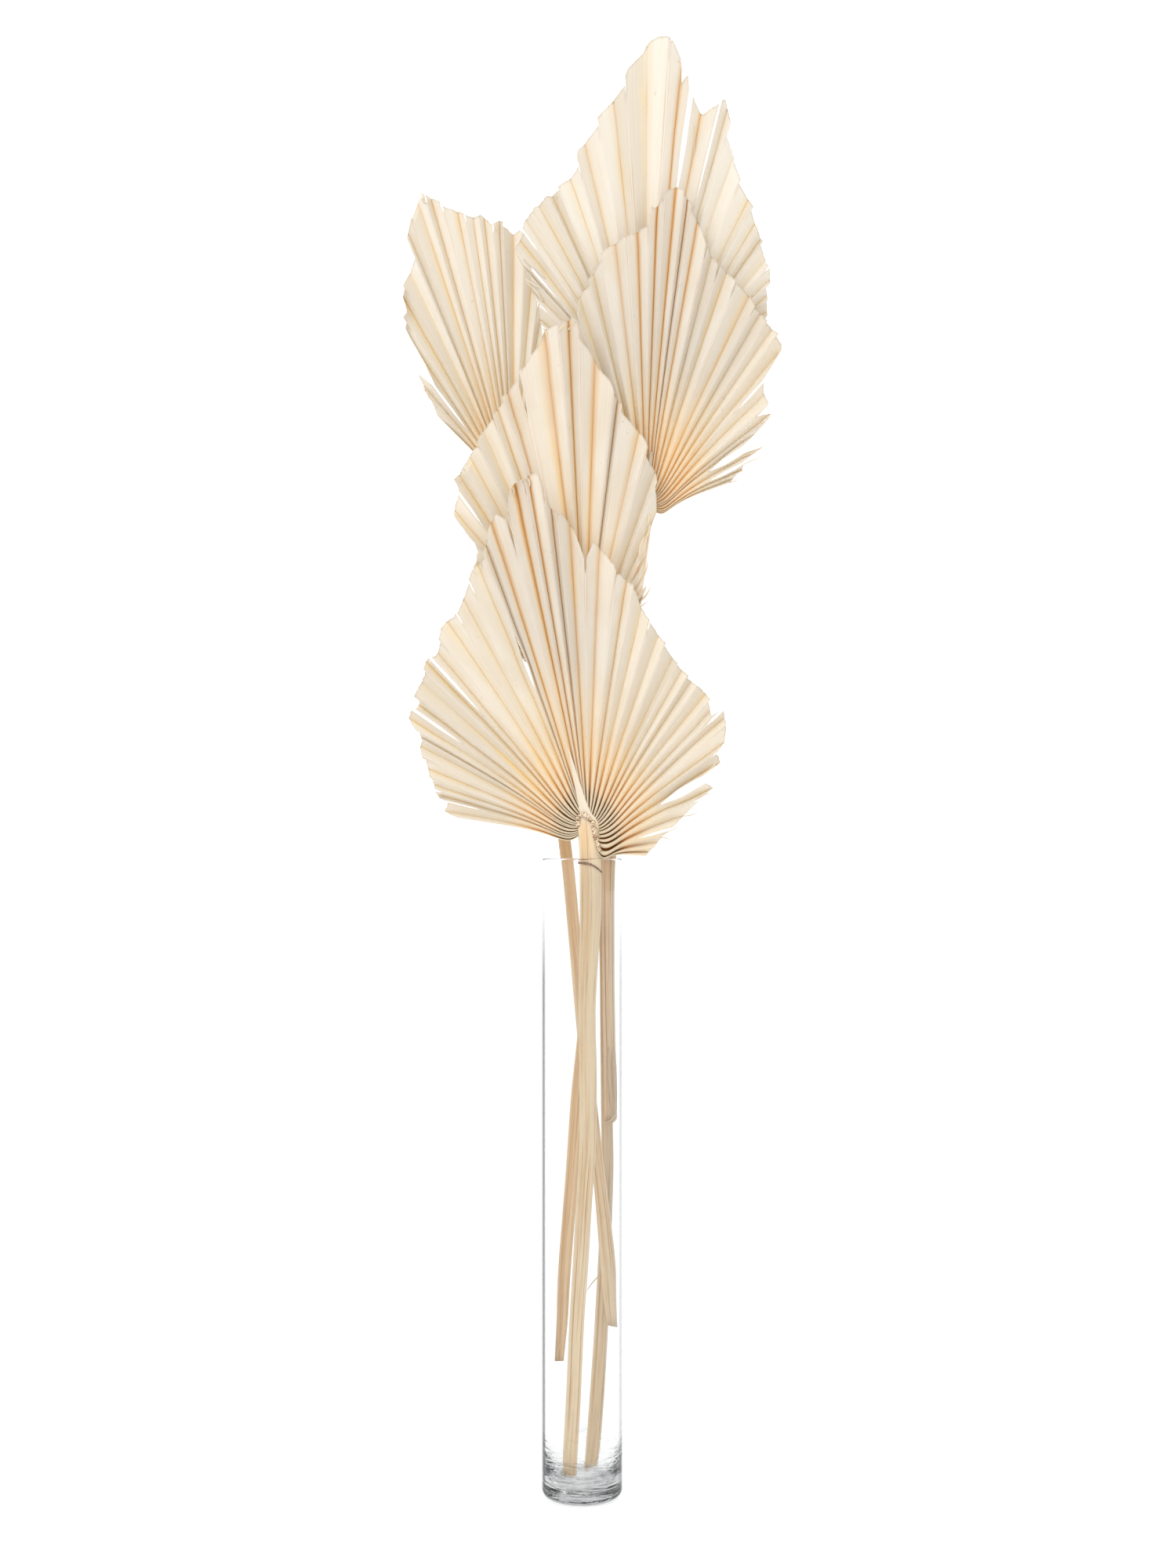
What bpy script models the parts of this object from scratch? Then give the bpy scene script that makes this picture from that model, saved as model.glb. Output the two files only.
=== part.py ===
"""Tall clear glass cylinder vase that holds five bleached and trimmed fan palm leaves.

Metres, +Z up. The origin is the centre of the vase's underside. X runs to the right and Y away from
the viewer. Each leaf is one grown piece: a petiole, its hastula and a pleated blade.
Lengths below are millimetres and are scaled once, when a mesh is made.
"""
import math

import bmesh
import bpy
from mathutils import Vector

MM = 0.001
GAP = 0.3

# Vase
VASE_HEIGHT = 500.0
VASE_RADIUS = 31.5
VASE_WALL = 3.0
VASE_HEEL = 6.5
VASE_FLOOR = 11.0
VASE_BOWL_TOP = 52.0
VASE_BOWL_POWER = 2.6
VASE_SIDES = 48
BORE = VASE_RADIUS - VASE_WALL
BOWL_SHARES = (0.22, 0.42, 0.6, 0.75, 0.86, 0.94, 0.98, 1.0)

# Blades
BLADE_THICKNESS = 1.0
PLEAT_SLOPE = 0.34
PLEAT_DEPTH_MAX = 5.0
STATIONS = (0.0, 0.25, 0.6, 1.0)
ROOT_WIDTH = 6.0
ROOT_HEIGHT = 4.0
BOW_SPAN = 250.0
SIDE_SPAN = 100.0
TOOTH = 2.6

# Petioles
STEM_SIDES = 10
STEM_SPACING = 34.0
STEM_CHANNEL = 0.25
STEM_FLATNESS = 0.4
TONGUE_WIDTH = 3.0
TONGUE_DEPTH = 3.0

COLLECTION = "palm_leaf_vase"

# The hub is where a leaf's folds gather. The outline runs clockwise from the lowest left tip, as
# (x, z) from the hub. A slit is (x, z) of its mouth, the station where it starts, and half its width
# at the mouth. The tongue is the pale end of the petiole that runs up into the blade, with its lean
# in degrees. The stem runs from its cut end to the hub, as (x, y, z, width, depth), and its first
# point is moved along x or z to its seat.
LEAVES = {
    "leaf_front": {
        "hub": (4.5, -23.0, 527.0),
        "pleats": 36,
        "root_drop": 13.0,
        "bow": -8.0,
        "wing": -8.0,
        "turn": 0.0,
        "outline": (
            (-115, 8), (-119, 24), (-131, 52), (-136, 78), (-133, 94), (-125, 124), (-112, 151),
            (-93, 190), (-78, 211), (-71, 238), (-59, 263), (-47, 271), (-36, 256), (-22, 238),
            (-10, 226), (1, 203), (5, 217), (21, 202), (40, 172), (50, 157), (72, 121), (91, 101),
            (97, 88), (106, 88), (109, 69), (106, 53), (99, 27), (66, -7), (51, -23),
        ),
        "slits": (
            (-135, 88, 2, 1.2), (-123, 130, 2, 1.4), (-118, 20, 1, 1.0), (-126, 40, 1, 1.2),
            (-134, 62, 2, 1.2), (-55, 265, 2, 1.2), (1, 205, 2, 1.6), (104, 86, 2, 1.0),
            (107, 50, 1, 1.8), (96, 24, 1, 1.2), (82, 8, 1, 1.2),
        ),
        "tongue": (52.0, -22.0),
        "seat": "floor",
        "stem": (
            (-10.7, -5.0, 16.0, 10.8, 6.0), (-6.0, -8.0, 106.0, 11.0, 6.5),
            (-1.0, -10.5, 191.0, 13.5, 7.0), (3.0, -12.5, 260.0, 14.0, 7.0),
            (4.4, -14.0, 340.0, 13.6, 7.0), (5.2, -16.0, 424.0, 13.8, 7.0),
            (6.4, -17.5, 470.0, 17.0, 7.0), (6.0, -19.0, 500.0, 17.5, 6.5),
            (4.5, -23.0, 527.0, 17.0, 6.0),
        ),
    },
    "leaf_middle": {
        "hub": (2.0, -8.0, 655.0),
        "pleats": 32,
        "root_drop": 6.0,
        "bow": 2.0,
        "wing": 0.0,
        "turn": 5.0,
        "outline": (
            (-34, -12), (-65, 13), (-86, 62), (-95, 105), (-102, 117), (-103, 142), (-95, 150),
            (-77, 180), (-56, 218), (-40, 237), (-28, 263), (-7, 267), (4, 246), (27, 209), (51, 160),
            (59, 114), (53, 87), (47, 56), (42, 13), (27, -17),
        ),
        "slits": (
            (-52, 222, 2, 1.4), (-100, 132, 2, 1.0), (54, 92, 2, 1.2), (45, 35, 1, 1.2),
        ),
        "tongue": (40.0, 0.0),
        "seat": "wall",
        "stem": (
            (-18.5, 15.5, 102.0, 8.0, 5.5), (-16.2, 14.0, 135.0, 10.0, 6.0),
            (-14.6, 12.0, 170.0, 11.0, 6.0), (-8.2, 7.0, 250.0, 11.0, 6.0),
            (-4.4, 3.0, 312.0, 11.0, 6.0), (-3.0, -0.5, 400.0, 11.0, 6.0),
            (-2.0, -3.0, 500.0, 11.5, 6.0), (0.5, -6.5, 600.0, 12.0, 6.0),
            (2.0, -8.0, 655.0, 13.0, 5.0),
        ),
    },
    "leaf_right": {
        "hub": (50.4, 10.0, 781.0),
        "pleats": 32,
        "root_drop": 7.0,
        "bow": 6.0,
        "wing": 0.0,
        "turn": -12.0,
        "outline": (
            (-15, 0), (-40, 31), (-55, 74), (-61, 118), (-54, 160), (-35, 195), (-17, 215), (4, 224),
            (17, 244), (26, 252), (38, 234), (58, 187), (78, 167), (93, 145), (110, 123), (97, 96),
            (98, 76), (89, 59), (78, 25), (66, 15), (41, 0),
        ),
        "slits": (
            (58, 187, 2, 1.3), (94, 143, 2, 1.3), (97, 84, 1, 1.6), (90, 62, 1, 1.4),
            (81, 38, 1, 1.4), (72, 20, 1, 1.4),
        ),
        "tongue": (40.0, 6.0),
        "seat": "wall",
        "stem": (
            (22.9, -1.0, 294.0, 10.4, 5.5), (22.3, 0.0, 320.0, 10.6, 6.0),
            (21.2, 1.0, 371.0, 10.5, 6.0), (20.6, 2.5, 435.0, 10.8, 6.0),
            (21.2, 4.0, 497.0, 11.5, 6.0), (30.0, 7.0, 600.0, 12.0, 6.0),
            (42.0, 9.5, 710.0, 12.0, 6.0), (50.4, 10.0, 781.0, 13.0, 5.0),
        ),
    },
    "leaf_top": {
        "hub": (51.0, 28.0, 869.0),
        "pleats": 38,
        "root_drop": 7.0,
        "bow": 10.0,
        "wing": 0.0,
        "turn": -12.0,
        "outline": (
            (-21, -6), (-59, 22), (-84, 59), (-104, 113), (-98, 144), (-69, 167), (-54, 191),
            (-29, 230), (-15, 260), (10, 295), (23, 289), (29, 265), (36, 255), (46, 229), (63, 241),
            (71, 197), (84, 156), (94, 122), (99, 91), (96, 53), (79, 22), (48, 0),
        ),
        "slits": (
            (-88, 150, 1, 1.3), (-99, 142, 1, 1.3), (-103, 124, 1, 1.3), (11, 290, 2, 1.8),
            (22, 285, 2, 1.2), (45, 228, 2, 2.2), (65, 226, 2, 1.0),
        ),
        "tongue": (40.0, 4.0),
        "seat": "floor",
        "stem": (
            (7.0, 10.0, 18.0, 10.0, 6.0), (9.0, 11.0, 38.0, 10.8, 6.0),
            (12.7, 11.5, 88.0, 11.0, 6.5), (15.4, 12.0, 130.0, 11.0, 6.5),
            (17.4, 12.5, 212.0, 10.5, 6.5), (17.6, 13.5, 300.0, 10.5, 6.5),
            (16.4, 14.5, 400.0, 11.0, 6.5), (16.0, 15.5, 500.0, 11.5, 6.5),
            (28.0, 23.0, 650.0, 12.0, 6.5), (41.0, 27.0, 780.0, 12.5, 6.0),
            (51.0, 28.0, 869.0, 13.0, 5.0),
        ),
    },
    "leaf_left": {
        "hub": (-56.0, 58.0, 804.0),
        "pleats": 26,
        "root_drop": 7.0,
        "bow": 14.0,
        "wing": 0.0,
        "turn": 15.0,
        "outline": (
            (-30, 25), (-61, 54), (-80, 94), (-92, 130), (-91, 152), (-88, 200), (-82, 238), (-76, 244),
            (-62, 233), (-46, 224), (-26, 221), (-10, 216), (6, 210), (18, 153), (20, 105), (23, 54),
            (20, 20),
        ),
        "slits": (
            (-78, 90, 1, 1.6), (-66, 64, 1, 1.4), (-91, 125, 2, 1.0),
        ),
        "tongue": (36.0, -12.0),
        "seat": "wall",
        "stem": (
            (23.6, -3.0, 133.0, 8.0, 5.5), (21.8, -2.0, 155.0, 10.5, 6.0),
            (20.0, -1.0, 180.0, 11.5, 6.0), (17.0, 1.0, 213.0, 11.0, 6.0),
            (13.5, 3.0, 250.0, 10.5, 6.0), (2.0, 11.0, 350.0, 10.5, 6.0),
            (-8.3, 17.0, 460.0, 10.5, 6.0), (-12.0, 20.0, 497.0, 10.5, 6.0),
            (-30.0, 37.0, 640.0, 11.5, 6.0), (-46.0, 51.0, 750.0, 12.0, 6.0),
            (-56.0, 58.0, 804.0, 13.0, 5.0),
        ),
    },
}

GLASS_ROUGHNESS = 0.02
LEAF_ROUGHNESS = 0.7
CREASE_DEGREES = 20
GLASS_COLOUR = (0.95, 0.97, 0.97, 1.0)
LEAF_COLOURS = {
    "leaf_front": (0.85, 0.77, 0.62, 1.0),
    "leaf_middle": (0.84, 0.76, 0.62, 1.0),
    "leaf_right": (0.84, 0.74, 0.58, 1.0),
    "leaf_top": (0.86, 0.79, 0.66, 1.0),
    "leaf_left": (0.82, 0.73, 0.58, 1.0),
}


def clear_scene():
    for item in list(bpy.data.objects):
        bpy.data.objects.remove(item, do_unlink=True)


def make_collection(name):
    collection = bpy.data.collections.new(name)
    bpy.context.scene.collection.children.link(collection)
    return collection


def principled(name, colour, roughness, transmission=0.0):
    material = bpy.data.materials.new(name)
    material.use_nodes = True
    shader = material.node_tree.nodes["Principled BSDF"]
    shader.inputs["Base Color"].default_value = colour
    shader.inputs["Roughness"].default_value = roughness
    shader.inputs["Metallic"].default_value = 0.0
    shader.inputs["Transmission Weight"].default_value = transmission
    return material


def mesh_from(bm, name):
    """Turn a bmesh in millimetres into a mesh in metres."""
    bmesh.ops.scale(bm, vec=(MM, MM, MM), verts=bm.verts)
    mesh = bpy.data.meshes.new(name)
    bm.to_mesh(mesh)
    bm.free()
    return mesh


def add_object(name, mesh, collection):
    item = bpy.data.objects.new(name, mesh)
    collection.objects.link(item)
    return item


def bowl_height(radius):
    """Height of the vase's inside bottom at a distance from its axis."""
    share = min(1.0, radius / BORE)
    rise = 1.0 - math.sqrt(1.0 - share ** VASE_BOWL_POWER)
    return VASE_FLOOR + (VASE_BOWL_TOP - VASE_FLOOR) * rise


def floor_under(radius):
    """Height of the faceted bowl at a distance from the axis, along its straight profile lines."""
    shares = (0.0,) + BOWL_SHARES
    for inner, outer in zip(shares, shares[1:]):
        if radius <= BORE * outer:
            along = (radius / BORE - inner) / (outer - inner)
            low = bowl_height(BORE * inner)
            return low + (bowl_height(BORE * outer) - low) * along
    return VASE_BOWL_TOP


def vase_profile():
    """Half section of the vase as (r, z): over the rim, down its outer side and up its inner side."""
    half = VASE_WALL / 2
    points = []
    for degrees in (135, 90, 45, 0):
        angle = math.radians(degrees)
        points.append((BORE + half + half * math.cos(angle), VASE_HEIGHT - half + half * math.sin(angle)))
    for degrees in (0, -15, -30, -45, -60, -75, -90):
        angle = math.radians(degrees)
        points.append((VASE_RADIUS - VASE_HEEL + VASE_HEEL * math.cos(angle),
                       VASE_HEEL + VASE_HEEL * math.sin(angle)))
    points.append((0.0, 0.0))
    points.append((0.0, VASE_FLOOR))
    for share in BOWL_SHARES:
        points.append((BORE * share, bowl_height(BORE * share)))
    points.append((BORE, VASE_HEIGHT - half))
    return points


def make_vase(collection):
    bm = bmesh.new()
    verts = [bm.verts.new((r, 0.0, z)) for r, z in vase_profile()]
    for first, second in zip(verts, verts[1:] + verts[:1]):
        on_axis = first.co.x == 0.0 and second.co.x == 0.0
        if not on_axis:
            bm.edges.new((first, second))
    mesh = mesh_from(bm, "vase")
    mesh.materials.append(principled("glass", GLASS_COLOUR, GLASS_ROUGHNESS, transmission=1.0))
    vase = add_object("vase", mesh, collection)
    screw = vase.modifiers.new("Turn", "SCREW")
    screw.axis = "Z"
    screw.angle = 2 * math.pi
    screw.steps = VASE_SIDES
    screw.render_steps = VASE_SIDES
    screw.use_merge_vertices = True
    screw.merge_threshold = 0.00001
    screw.use_smooth_shade = True
    return vase


def angle_of(point):
    """Angle about the hub, clockwise from straight down, so that no fan passes through zero."""
    x, z = point
    return math.atan2(-x, -z) % (2 * math.pi)


def direction_of(angle):
    return Vector((-math.sin(angle), -math.cos(angle)))


def reach_of(outline, angle):
    """How far from the hub the outline lies at an angle, at its furthest crossing."""
    ray = direction_of(angle)
    furthest = 0.0
    for (x0, z0), (x1, z1) in zip(outline, outline[1:]):
        side_x = x1 - x0
        side_z = z1 - z0
        cross = ray.x * side_z - ray.y * side_x
        if abs(cross) < 1e-9:
            continue
        reach = (x0 * side_z - z0 * side_x) / cross
        along = (x0 * ray.y - z0 * ray.x) / cross
        if -1e-6 <= along <= 1.0 + 1e-6:
            furthest = max(furthest, reach)
    return furthest


def root_of(spec, angle):
    """Where a fold leaves the petiole: round its end, and lower down its two sides."""
    ray = direction_of(angle)
    return Vector((ROOT_WIDTH * ray.x, ROOT_HEIGHT * ray.y - spec["root_drop"] * ray.x ** 2))


def blade_y(spec, point, pleat):
    """Depth behind the hub: bow along the folds, wings at both sides, the fan's turn, and the pleat."""
    reach = point.length / BOW_SPAN
    sides = (spec["wing"] * abs(point.x) + spec["turn"] * point.x) / SIDE_SPAN
    return spec["bow"] * reach * reach + sides + pleat


def fold_column(bm, spec, angle, step, ridge, spread):
    """The vertices of one fold, from root to tip; spread turns its tip aside at a slit."""
    hub = Vector(spec["hub"])
    first = angle_of(spec["outline"][0])
    last = angle_of(spec["outline"][-1])
    aimed = min(max(angle + spread, first), last)
    reach = reach_of(spec["outline"], aimed)
    if first < angle < last:
        reach += ridge * TOOTH / 2
    root = root_of(spec, angle)
    tip = direction_of(aimed) * reach
    column = []
    for share in STATIONS:
        point = root.lerp(tip, share)
        depth = min(PLEAT_DEPTH_MAX, PLEAT_SLOPE * (point - root).length * step)
        y = blade_y(spec, point, ridge * depth)
        column.append(bm.verts.new((hub.x + point.x, hub.y + y, hub.z + point.y)))
    return column


def slit_column(bm, spec, slit, angle, step, ridge, side, shared):
    """One side of a slit: it shares the fold's vertices up to the station where the slit starts."""
    x, z, start, half_width = slit
    spread = side * half_width / math.hypot(x, z)
    column = fold_column(bm, spec, angle, step, ridge, spread)
    for row in range(start + 1):
        bm.verts.remove(column[row])
        column[row] = shared[row]
    for row in range(start + 1, len(STATIONS) - 1):
        share = (STATIONS[row] - STATIONS[start]) / (1.0 - STATIONS[start])
        column[row].co = shared[start].co.lerp(column[-1].co, share)
    return column


def blade_bmesh(spec):
    """A pleated sheet, one column of vertices for each fold, thickened from front to back."""
    first = angle_of(spec["outline"][0])
    last = angle_of(spec["outline"][-1])
    folds = 2 * spec["pleats"]
    step = (last - first) / folds
    slits = {}
    for slit in spec["slits"]:
        slits[round((angle_of(slit[:2]) - first) / step)] = slit
    bm = bmesh.new()
    columns = []
    for index in range(folds + 1):
        ridge = 1 if index % 2 else -1
        angle = first + step * index
        column = fold_column(bm, spec, angle, step, ridge, 0.0)
        if index in slits:
            before = slit_column(bm, spec, slits[index], angle, step, ridge, -1, column)
            after = slit_column(bm, spec, slits[index], angle, step, ridge, 1, column)
            for row in range(slits[index][2] + 1, len(STATIONS)):
                bm.verts.remove(column[row])
            columns.append((before, after))
        else:
            columns.append((column, column))
    for (_, left), (right, _) in zip(columns, columns[1:]):
        for row in range(len(STATIONS) - 1):
            bm.faces.new((left[row], right[row], right[row + 1]))
            bm.faces.new((left[row], right[row + 1], left[row + 1]))
    thickened = bmesh.ops.extrude_face_region(bm, geom=list(bm.faces), use_keep_orig=True)
    back = [item for item in thickened["geom"] if isinstance(item, bmesh.types.BMVert)]
    bmesh.ops.translate(bm, vec=(0.0, BLADE_THICKNESS, 0.0), verts=back)
    bmesh.ops.triangulate(bm, faces=[face for face in bm.faces if len(face.verts) > 3])
    bmesh.ops.recalc_face_normals(bm, faces=bm.faces)
    return bm


def stem_section(width, depth):
    """Petiole section as (across, back): rounded behind, flat with a shallow channel in front."""
    points = []
    for side in range(STEM_SIDES):
        angle = 2 * math.pi * side / STEM_SIDES
        across = math.cos(angle)
        back = math.sin(angle)
        if back < -1e-9:
            back = -abs(back) ** STEM_FLATNESS * (1.0 - STEM_CHANNEL * (1.0 - abs(across)) ** 2)
        points.append((across * width / 2, back * depth / 2))
    return points


def seated(spec):
    """The stem's points, with its cut end moved to rest on the vase's floor or against its wall."""
    points = [list(point) for point in spec["stem"]]
    x, y, z, width, depth = points[0]
    section = stem_section(width, depth)
    if spec["seat"] == "floor":
        points[0][2] = max(floor_under(math.hypot(x + u, y + v)) for u, v in section) + GAP
    else:
        side = math.copysign(1.0, x)
        bore = BORE * math.cos(math.pi / VASE_SIDES) - GAP
        points[0][0] = side * min(math.sqrt(bore ** 2 - (y + v) ** 2) - side * u for u, v in section)
    return points


def with_tongue(spec, points):
    """Adds the petiole's tapered end, which runs up the blade above the hub."""
    length, lean = spec["tongue"]
    lean = math.radians(lean)
    x, y, z, width, depth = points[-1]
    tip = [x + length * math.sin(lean), y, z + length * math.cos(lean), TONGUE_WIDTH, TONGUE_DEPTH]
    return points + [tip]


def smooth_route(points):
    """Even steps along a smooth curve through the given points, all five values of each."""
    route = []
    for index in range(len(points) - 1):
        before = Vector(points[max(0, index - 1)])
        start = Vector(points[index])
        end = Vector(points[index + 1])
        after = Vector(points[min(len(points) - 1, index + 2)])
        length = (end - start).length
        into = (end - before) * length / max(1e-6, (end - start).length + (start - before).length)
        out = (after - start) * length / max(1e-6, (after - end).length + (end - start).length)
        steps = max(1, round(length / STEM_SPACING))
        for step in range(steps):
            t = step / steps
            route.append(start * (2 * t ** 3 - 3 * t ** 2 + 1) + into * (t ** 3 - 2 * t ** 2 + t)
                         + end * (3 * t ** 2 - 2 * t ** 3) + out * (t ** 3 - t ** 2))
    route.append(Vector(points[-1]))
    return route


def stem_bmesh(spec):
    """The petiole, lofted through its sections along the smooth route from a level cut end."""
    route = smooth_route(with_tongue(spec, seated(spec)))
    bm = bmesh.new()
    rings = []
    for index, station in enumerate(route):
        place = Vector(station[:3])
        ahead = Vector(route[min(index + 1, len(route) - 1)][:3])
        behind = Vector(route[max(index - 1, 0)][:3])
        along = (ahead - behind).normalized() if index else Vector((0.0, 0.0, 1.0))
        back = (Vector((0.0, 1.0, 0.0)) - along * along.y).normalized()
        across = back.cross(along)
        ring = [bm.verts.new(place + across * u + back * v) for u, v in stem_section(*station[3:])]
        rings.append(ring)
    for lower, upper in zip(rings, rings[1:]):
        for side in range(STEM_SIDES):
            other = (side + 1) % STEM_SIDES
            bm.faces.new((lower[side], lower[other], upper[other], upper[side]))
    bm.faces.new(rings[0])
    bm.faces.new(rings[-1])
    bmesh.ops.triangulate(bm, faces=list(bm.faces))
    bmesh.ops.recalc_face_normals(bm, faces=bm.faces)
    return bm


def keep_largest_shell(mesh):
    """Fill the small pockets that the union seals between the petiole and the folds."""
    bm = bmesh.new()
    bm.from_mesh(mesh)
    waiting = set(bm.faces)
    shells = []
    while waiting:
        edge_of_shell = [waiting.pop()]
        shell = set(edge_of_shell)
        while edge_of_shell:
            for edge in edge_of_shell.pop().edges:
                for face in edge.link_faces:
                    if face in waiting:
                        waiting.remove(face)
                        shell.add(face)
                        edge_of_shell.append(face)
        shells.append(shell)
    largest = max(shells, key=len)
    extra = [face for shell in shells if shell is not largest for face in shell]
    bmesh.ops.delete(bm, geom=extra, context="FACES")
    bm.to_mesh(mesh)
    bm.free()


def make_leaf(name, spec, collection):
    """Grow one leaf: its blade and its petiole are joined into a single solid."""
    stem = add_object(name + "_petiole", mesh_from(stem_bmesh(spec), name + "_petiole"), collection)
    leaf = add_object(name, mesh_from(blade_bmesh(spec), name), collection)
    join = leaf.modifiers.new("Grow together", "BOOLEAN")
    join.operation = "UNION"
    join.solver = "MANIFOLD"
    join.object = stem
    grown = leaf.evaluated_get(bpy.context.evaluated_depsgraph_get())
    mesh = bpy.data.meshes.new_from_object(grown)
    leaf.modifiers.clear()
    leaf.data = mesh
    keep_largest_shell(mesh)
    bpy.data.objects.remove(stem, do_unlink=True)
    mesh.materials.clear()
    mesh.materials.append(principled("dried_" + name, LEAF_COLOURS[name], LEAF_ROUGHNESS))
    mesh.shade_smooth()
    mesh.set_sharp_from_angle(angle=math.radians(CREASE_DEGREES))
    return leaf


def main():
    clear_scene()
    collection = make_collection(COLLECTION)
    make_vase(collection)
    for name, spec in LEAVES.items():
        make_leaf(name, spec, collection)


main()
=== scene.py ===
"""Looks for the vase of dried fan palm leaves: fine pleated blades, fibrous petioles, clear glass."""
import math
import random

import bpy
import numpy as np
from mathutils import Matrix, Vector, noise


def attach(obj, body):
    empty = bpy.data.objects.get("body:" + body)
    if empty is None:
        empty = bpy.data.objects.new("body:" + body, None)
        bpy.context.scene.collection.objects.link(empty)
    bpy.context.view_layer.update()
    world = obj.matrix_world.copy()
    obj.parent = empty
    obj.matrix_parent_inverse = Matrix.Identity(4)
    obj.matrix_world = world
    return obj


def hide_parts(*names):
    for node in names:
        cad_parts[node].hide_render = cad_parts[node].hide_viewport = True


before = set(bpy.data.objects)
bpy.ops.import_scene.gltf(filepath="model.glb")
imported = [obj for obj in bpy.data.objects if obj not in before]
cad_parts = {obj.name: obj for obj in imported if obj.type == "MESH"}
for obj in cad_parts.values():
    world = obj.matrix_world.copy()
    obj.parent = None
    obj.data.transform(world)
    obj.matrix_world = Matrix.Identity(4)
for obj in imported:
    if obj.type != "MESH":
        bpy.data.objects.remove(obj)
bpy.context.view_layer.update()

MM = 0.001

# Camera: level, at the height of the vase's rim, as the rim is seen as a straight line
EYE_HEIGHT = 0.500
DISTANCE = 1.600
SIDE_STEP = 0.0046
SENSOR = 36.0
LENS = 46.8
SHIFT_Y = 0.0475

# Stage: lights have a place, an aim, a size, a power and a colour
FLOOR_HALF = 30.0
FLOOR_DROP = 0.0002
FLOOR_GLOW = 0.78
WORLD_STRENGTH = 1.23
SIDES_FROM = 0.62
SIDE_GREY = (0.42, 0.43, 0.44, 1.0)
LIGHTS = {
    "key": ((-1.5, -2.0, 2.2), (0.0, 0.0, 0.75), 1.6, 15.0, (1.0, 0.985, 0.96)),
    "rim": ((1.3, 1.4, 1.6), (0.0, 0.0, 0.8), 0.9, 8.0, (1.0, 1.0, 1.0)),
}

# Vase, in millimetres, as in the solid, but for a flatter inside bottom that shows the stems' ends. A loop
# is an extra ring of points, so far from an edge, that keeps the shading of the flat parts even.
VASE_HEIGHT = 500.0
VASE_RADIUS = 31.5
VASE_WALL = 3.0
VASE_HEEL = 6.5
VASE_FLOOR = 11.0
VASE_BOWL_TOP = 52.0
VASE_BOWL_POWER = 5.0
VASE_SIDES = 160
RIM_STEPS = 12
HEEL_STEPS = 12
SIDE_STEPS = 16
BOWL_STEPS = 24
BORE_STEPS = 15
LOOP = 0.4
FOOT_LOOP = 3.0
BORE = VASE_RADIUS - VASE_WALL
GAP = 0.3
GLASS_IOR = 1.42
GLASS_TINT = (0.73, 0.74, 0.74)
GLASS_DENSITY = 24.0

# Blades: lengths in millimetres, shares of a fold's length. Folds wave to and fro, strips between slits
# lift and twist, and panels between folds are hollow by a share of the pleats' depth. Pleats part at most
# EDGE_JITTER of their width aside, unless a notch is near, and are at least NARROWEST of it wide.
BLADE_ROWS = 46
ROW_POWER = 1.25
MARGIN_FROM = 0.8
PANEL_COLUMNS = 6
BLADE_THICKNESS = 0.45
BLADE_SHARP = 18.0
WELD = 0.00002
TRANSLUCENCY = 0.30
SLOPE_OUTER = 0.28
SLOPE_INNER = 0.43
SLOPE_REACH = 38.0
PLEAT_DEPTH_MAX = 4.6
ROOT_DEPTH = 1.3
FOLD_SAMPLES = 400
EDGE_JITTER = 0.12
NOTCH_NEAR = 0.4
NARROWEST = 0.35
MIDDLE_SHARES = (0.34, 0.66)
TIP_SHARES = (0.28, 0.72)
BOW_SPAN = 250.0
SIDE_SPAN = 100.0
OWN_FROM = 0.93
LOOSE_FROM = 0.3
NICK_CHANCE = 0.35
WAVE = 2.2
LIFT = 7.0
TWIST = 9.0
HOLLOW = 0.06
SAG = 5.0
SAG_AT = 0.10
NO_SLIT = (1.0, 0.0, 1.0)

# Loose fibres and torn strips
STRIP_STEPS = 12
STRIP_THICKNESS = 0.25
STRIP_EDGE = 0.06
FIBRE_AHEAD = 0.3
FIBRE_LEAN = 0.08

# Petioles. The tongue has the share of its length, shares of width, millimetres forward, share of depth.
# A cut slants by its value, in millimetres of rise for each millimetre across.
STEM_SIDES = 32
STEM_SPACING = 5.0
STEM_CHANNEL = 0.25
STEM_FLATNESS = 0.4
STEM_GROOVE = 0.12
STEM_SHARP = 50.0
CRUST_SPACING = 0.5
TONGUE = ((0.10, 0.62, 0.0, 0.9), (0.3, 0.40, 0.8, 0.7), (0.6, 0.26, 1.6, 0.55), (1.0, 0.10, 2.2, 0.35))
CUTS = {"leaf_front": 0.05, "leaf_middle": 0.1, "leaf_right": 0.2, "leaf_top": 0.75, "leaf_left": -0.3}

# Each blade's neutral paleness, how strong its painted glow of light shining through its folds and hub is,
# and how strong the painted shade in its hub's brown gaps is, then its petiole's tint, the tint's strength
# and how strong the petiole's brown lines are
FINISH = {
    "leaf_front": (0.05, 1.0, 1.1, (1.0, 0.92, 0.80), 0.65, 0.6),
    "leaf_middle": (0.0, 1.2, 0.6, (1.0, 0.86, 0.70), 0.7, 0.4),
    "leaf_right": (0.15, 1.15, 0.12, (1.0, 0.91, 0.84), 0.5, 0.9),
    "leaf_top": (0.75, 0.6, 0.6, (0.94, 0.93, 0.92), 0.9, 0.5),
    "leaf_left": (0.6, 0.8, 0.6, (1.0, 0.91, 0.80), 0.7, 0.5),
}

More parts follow.
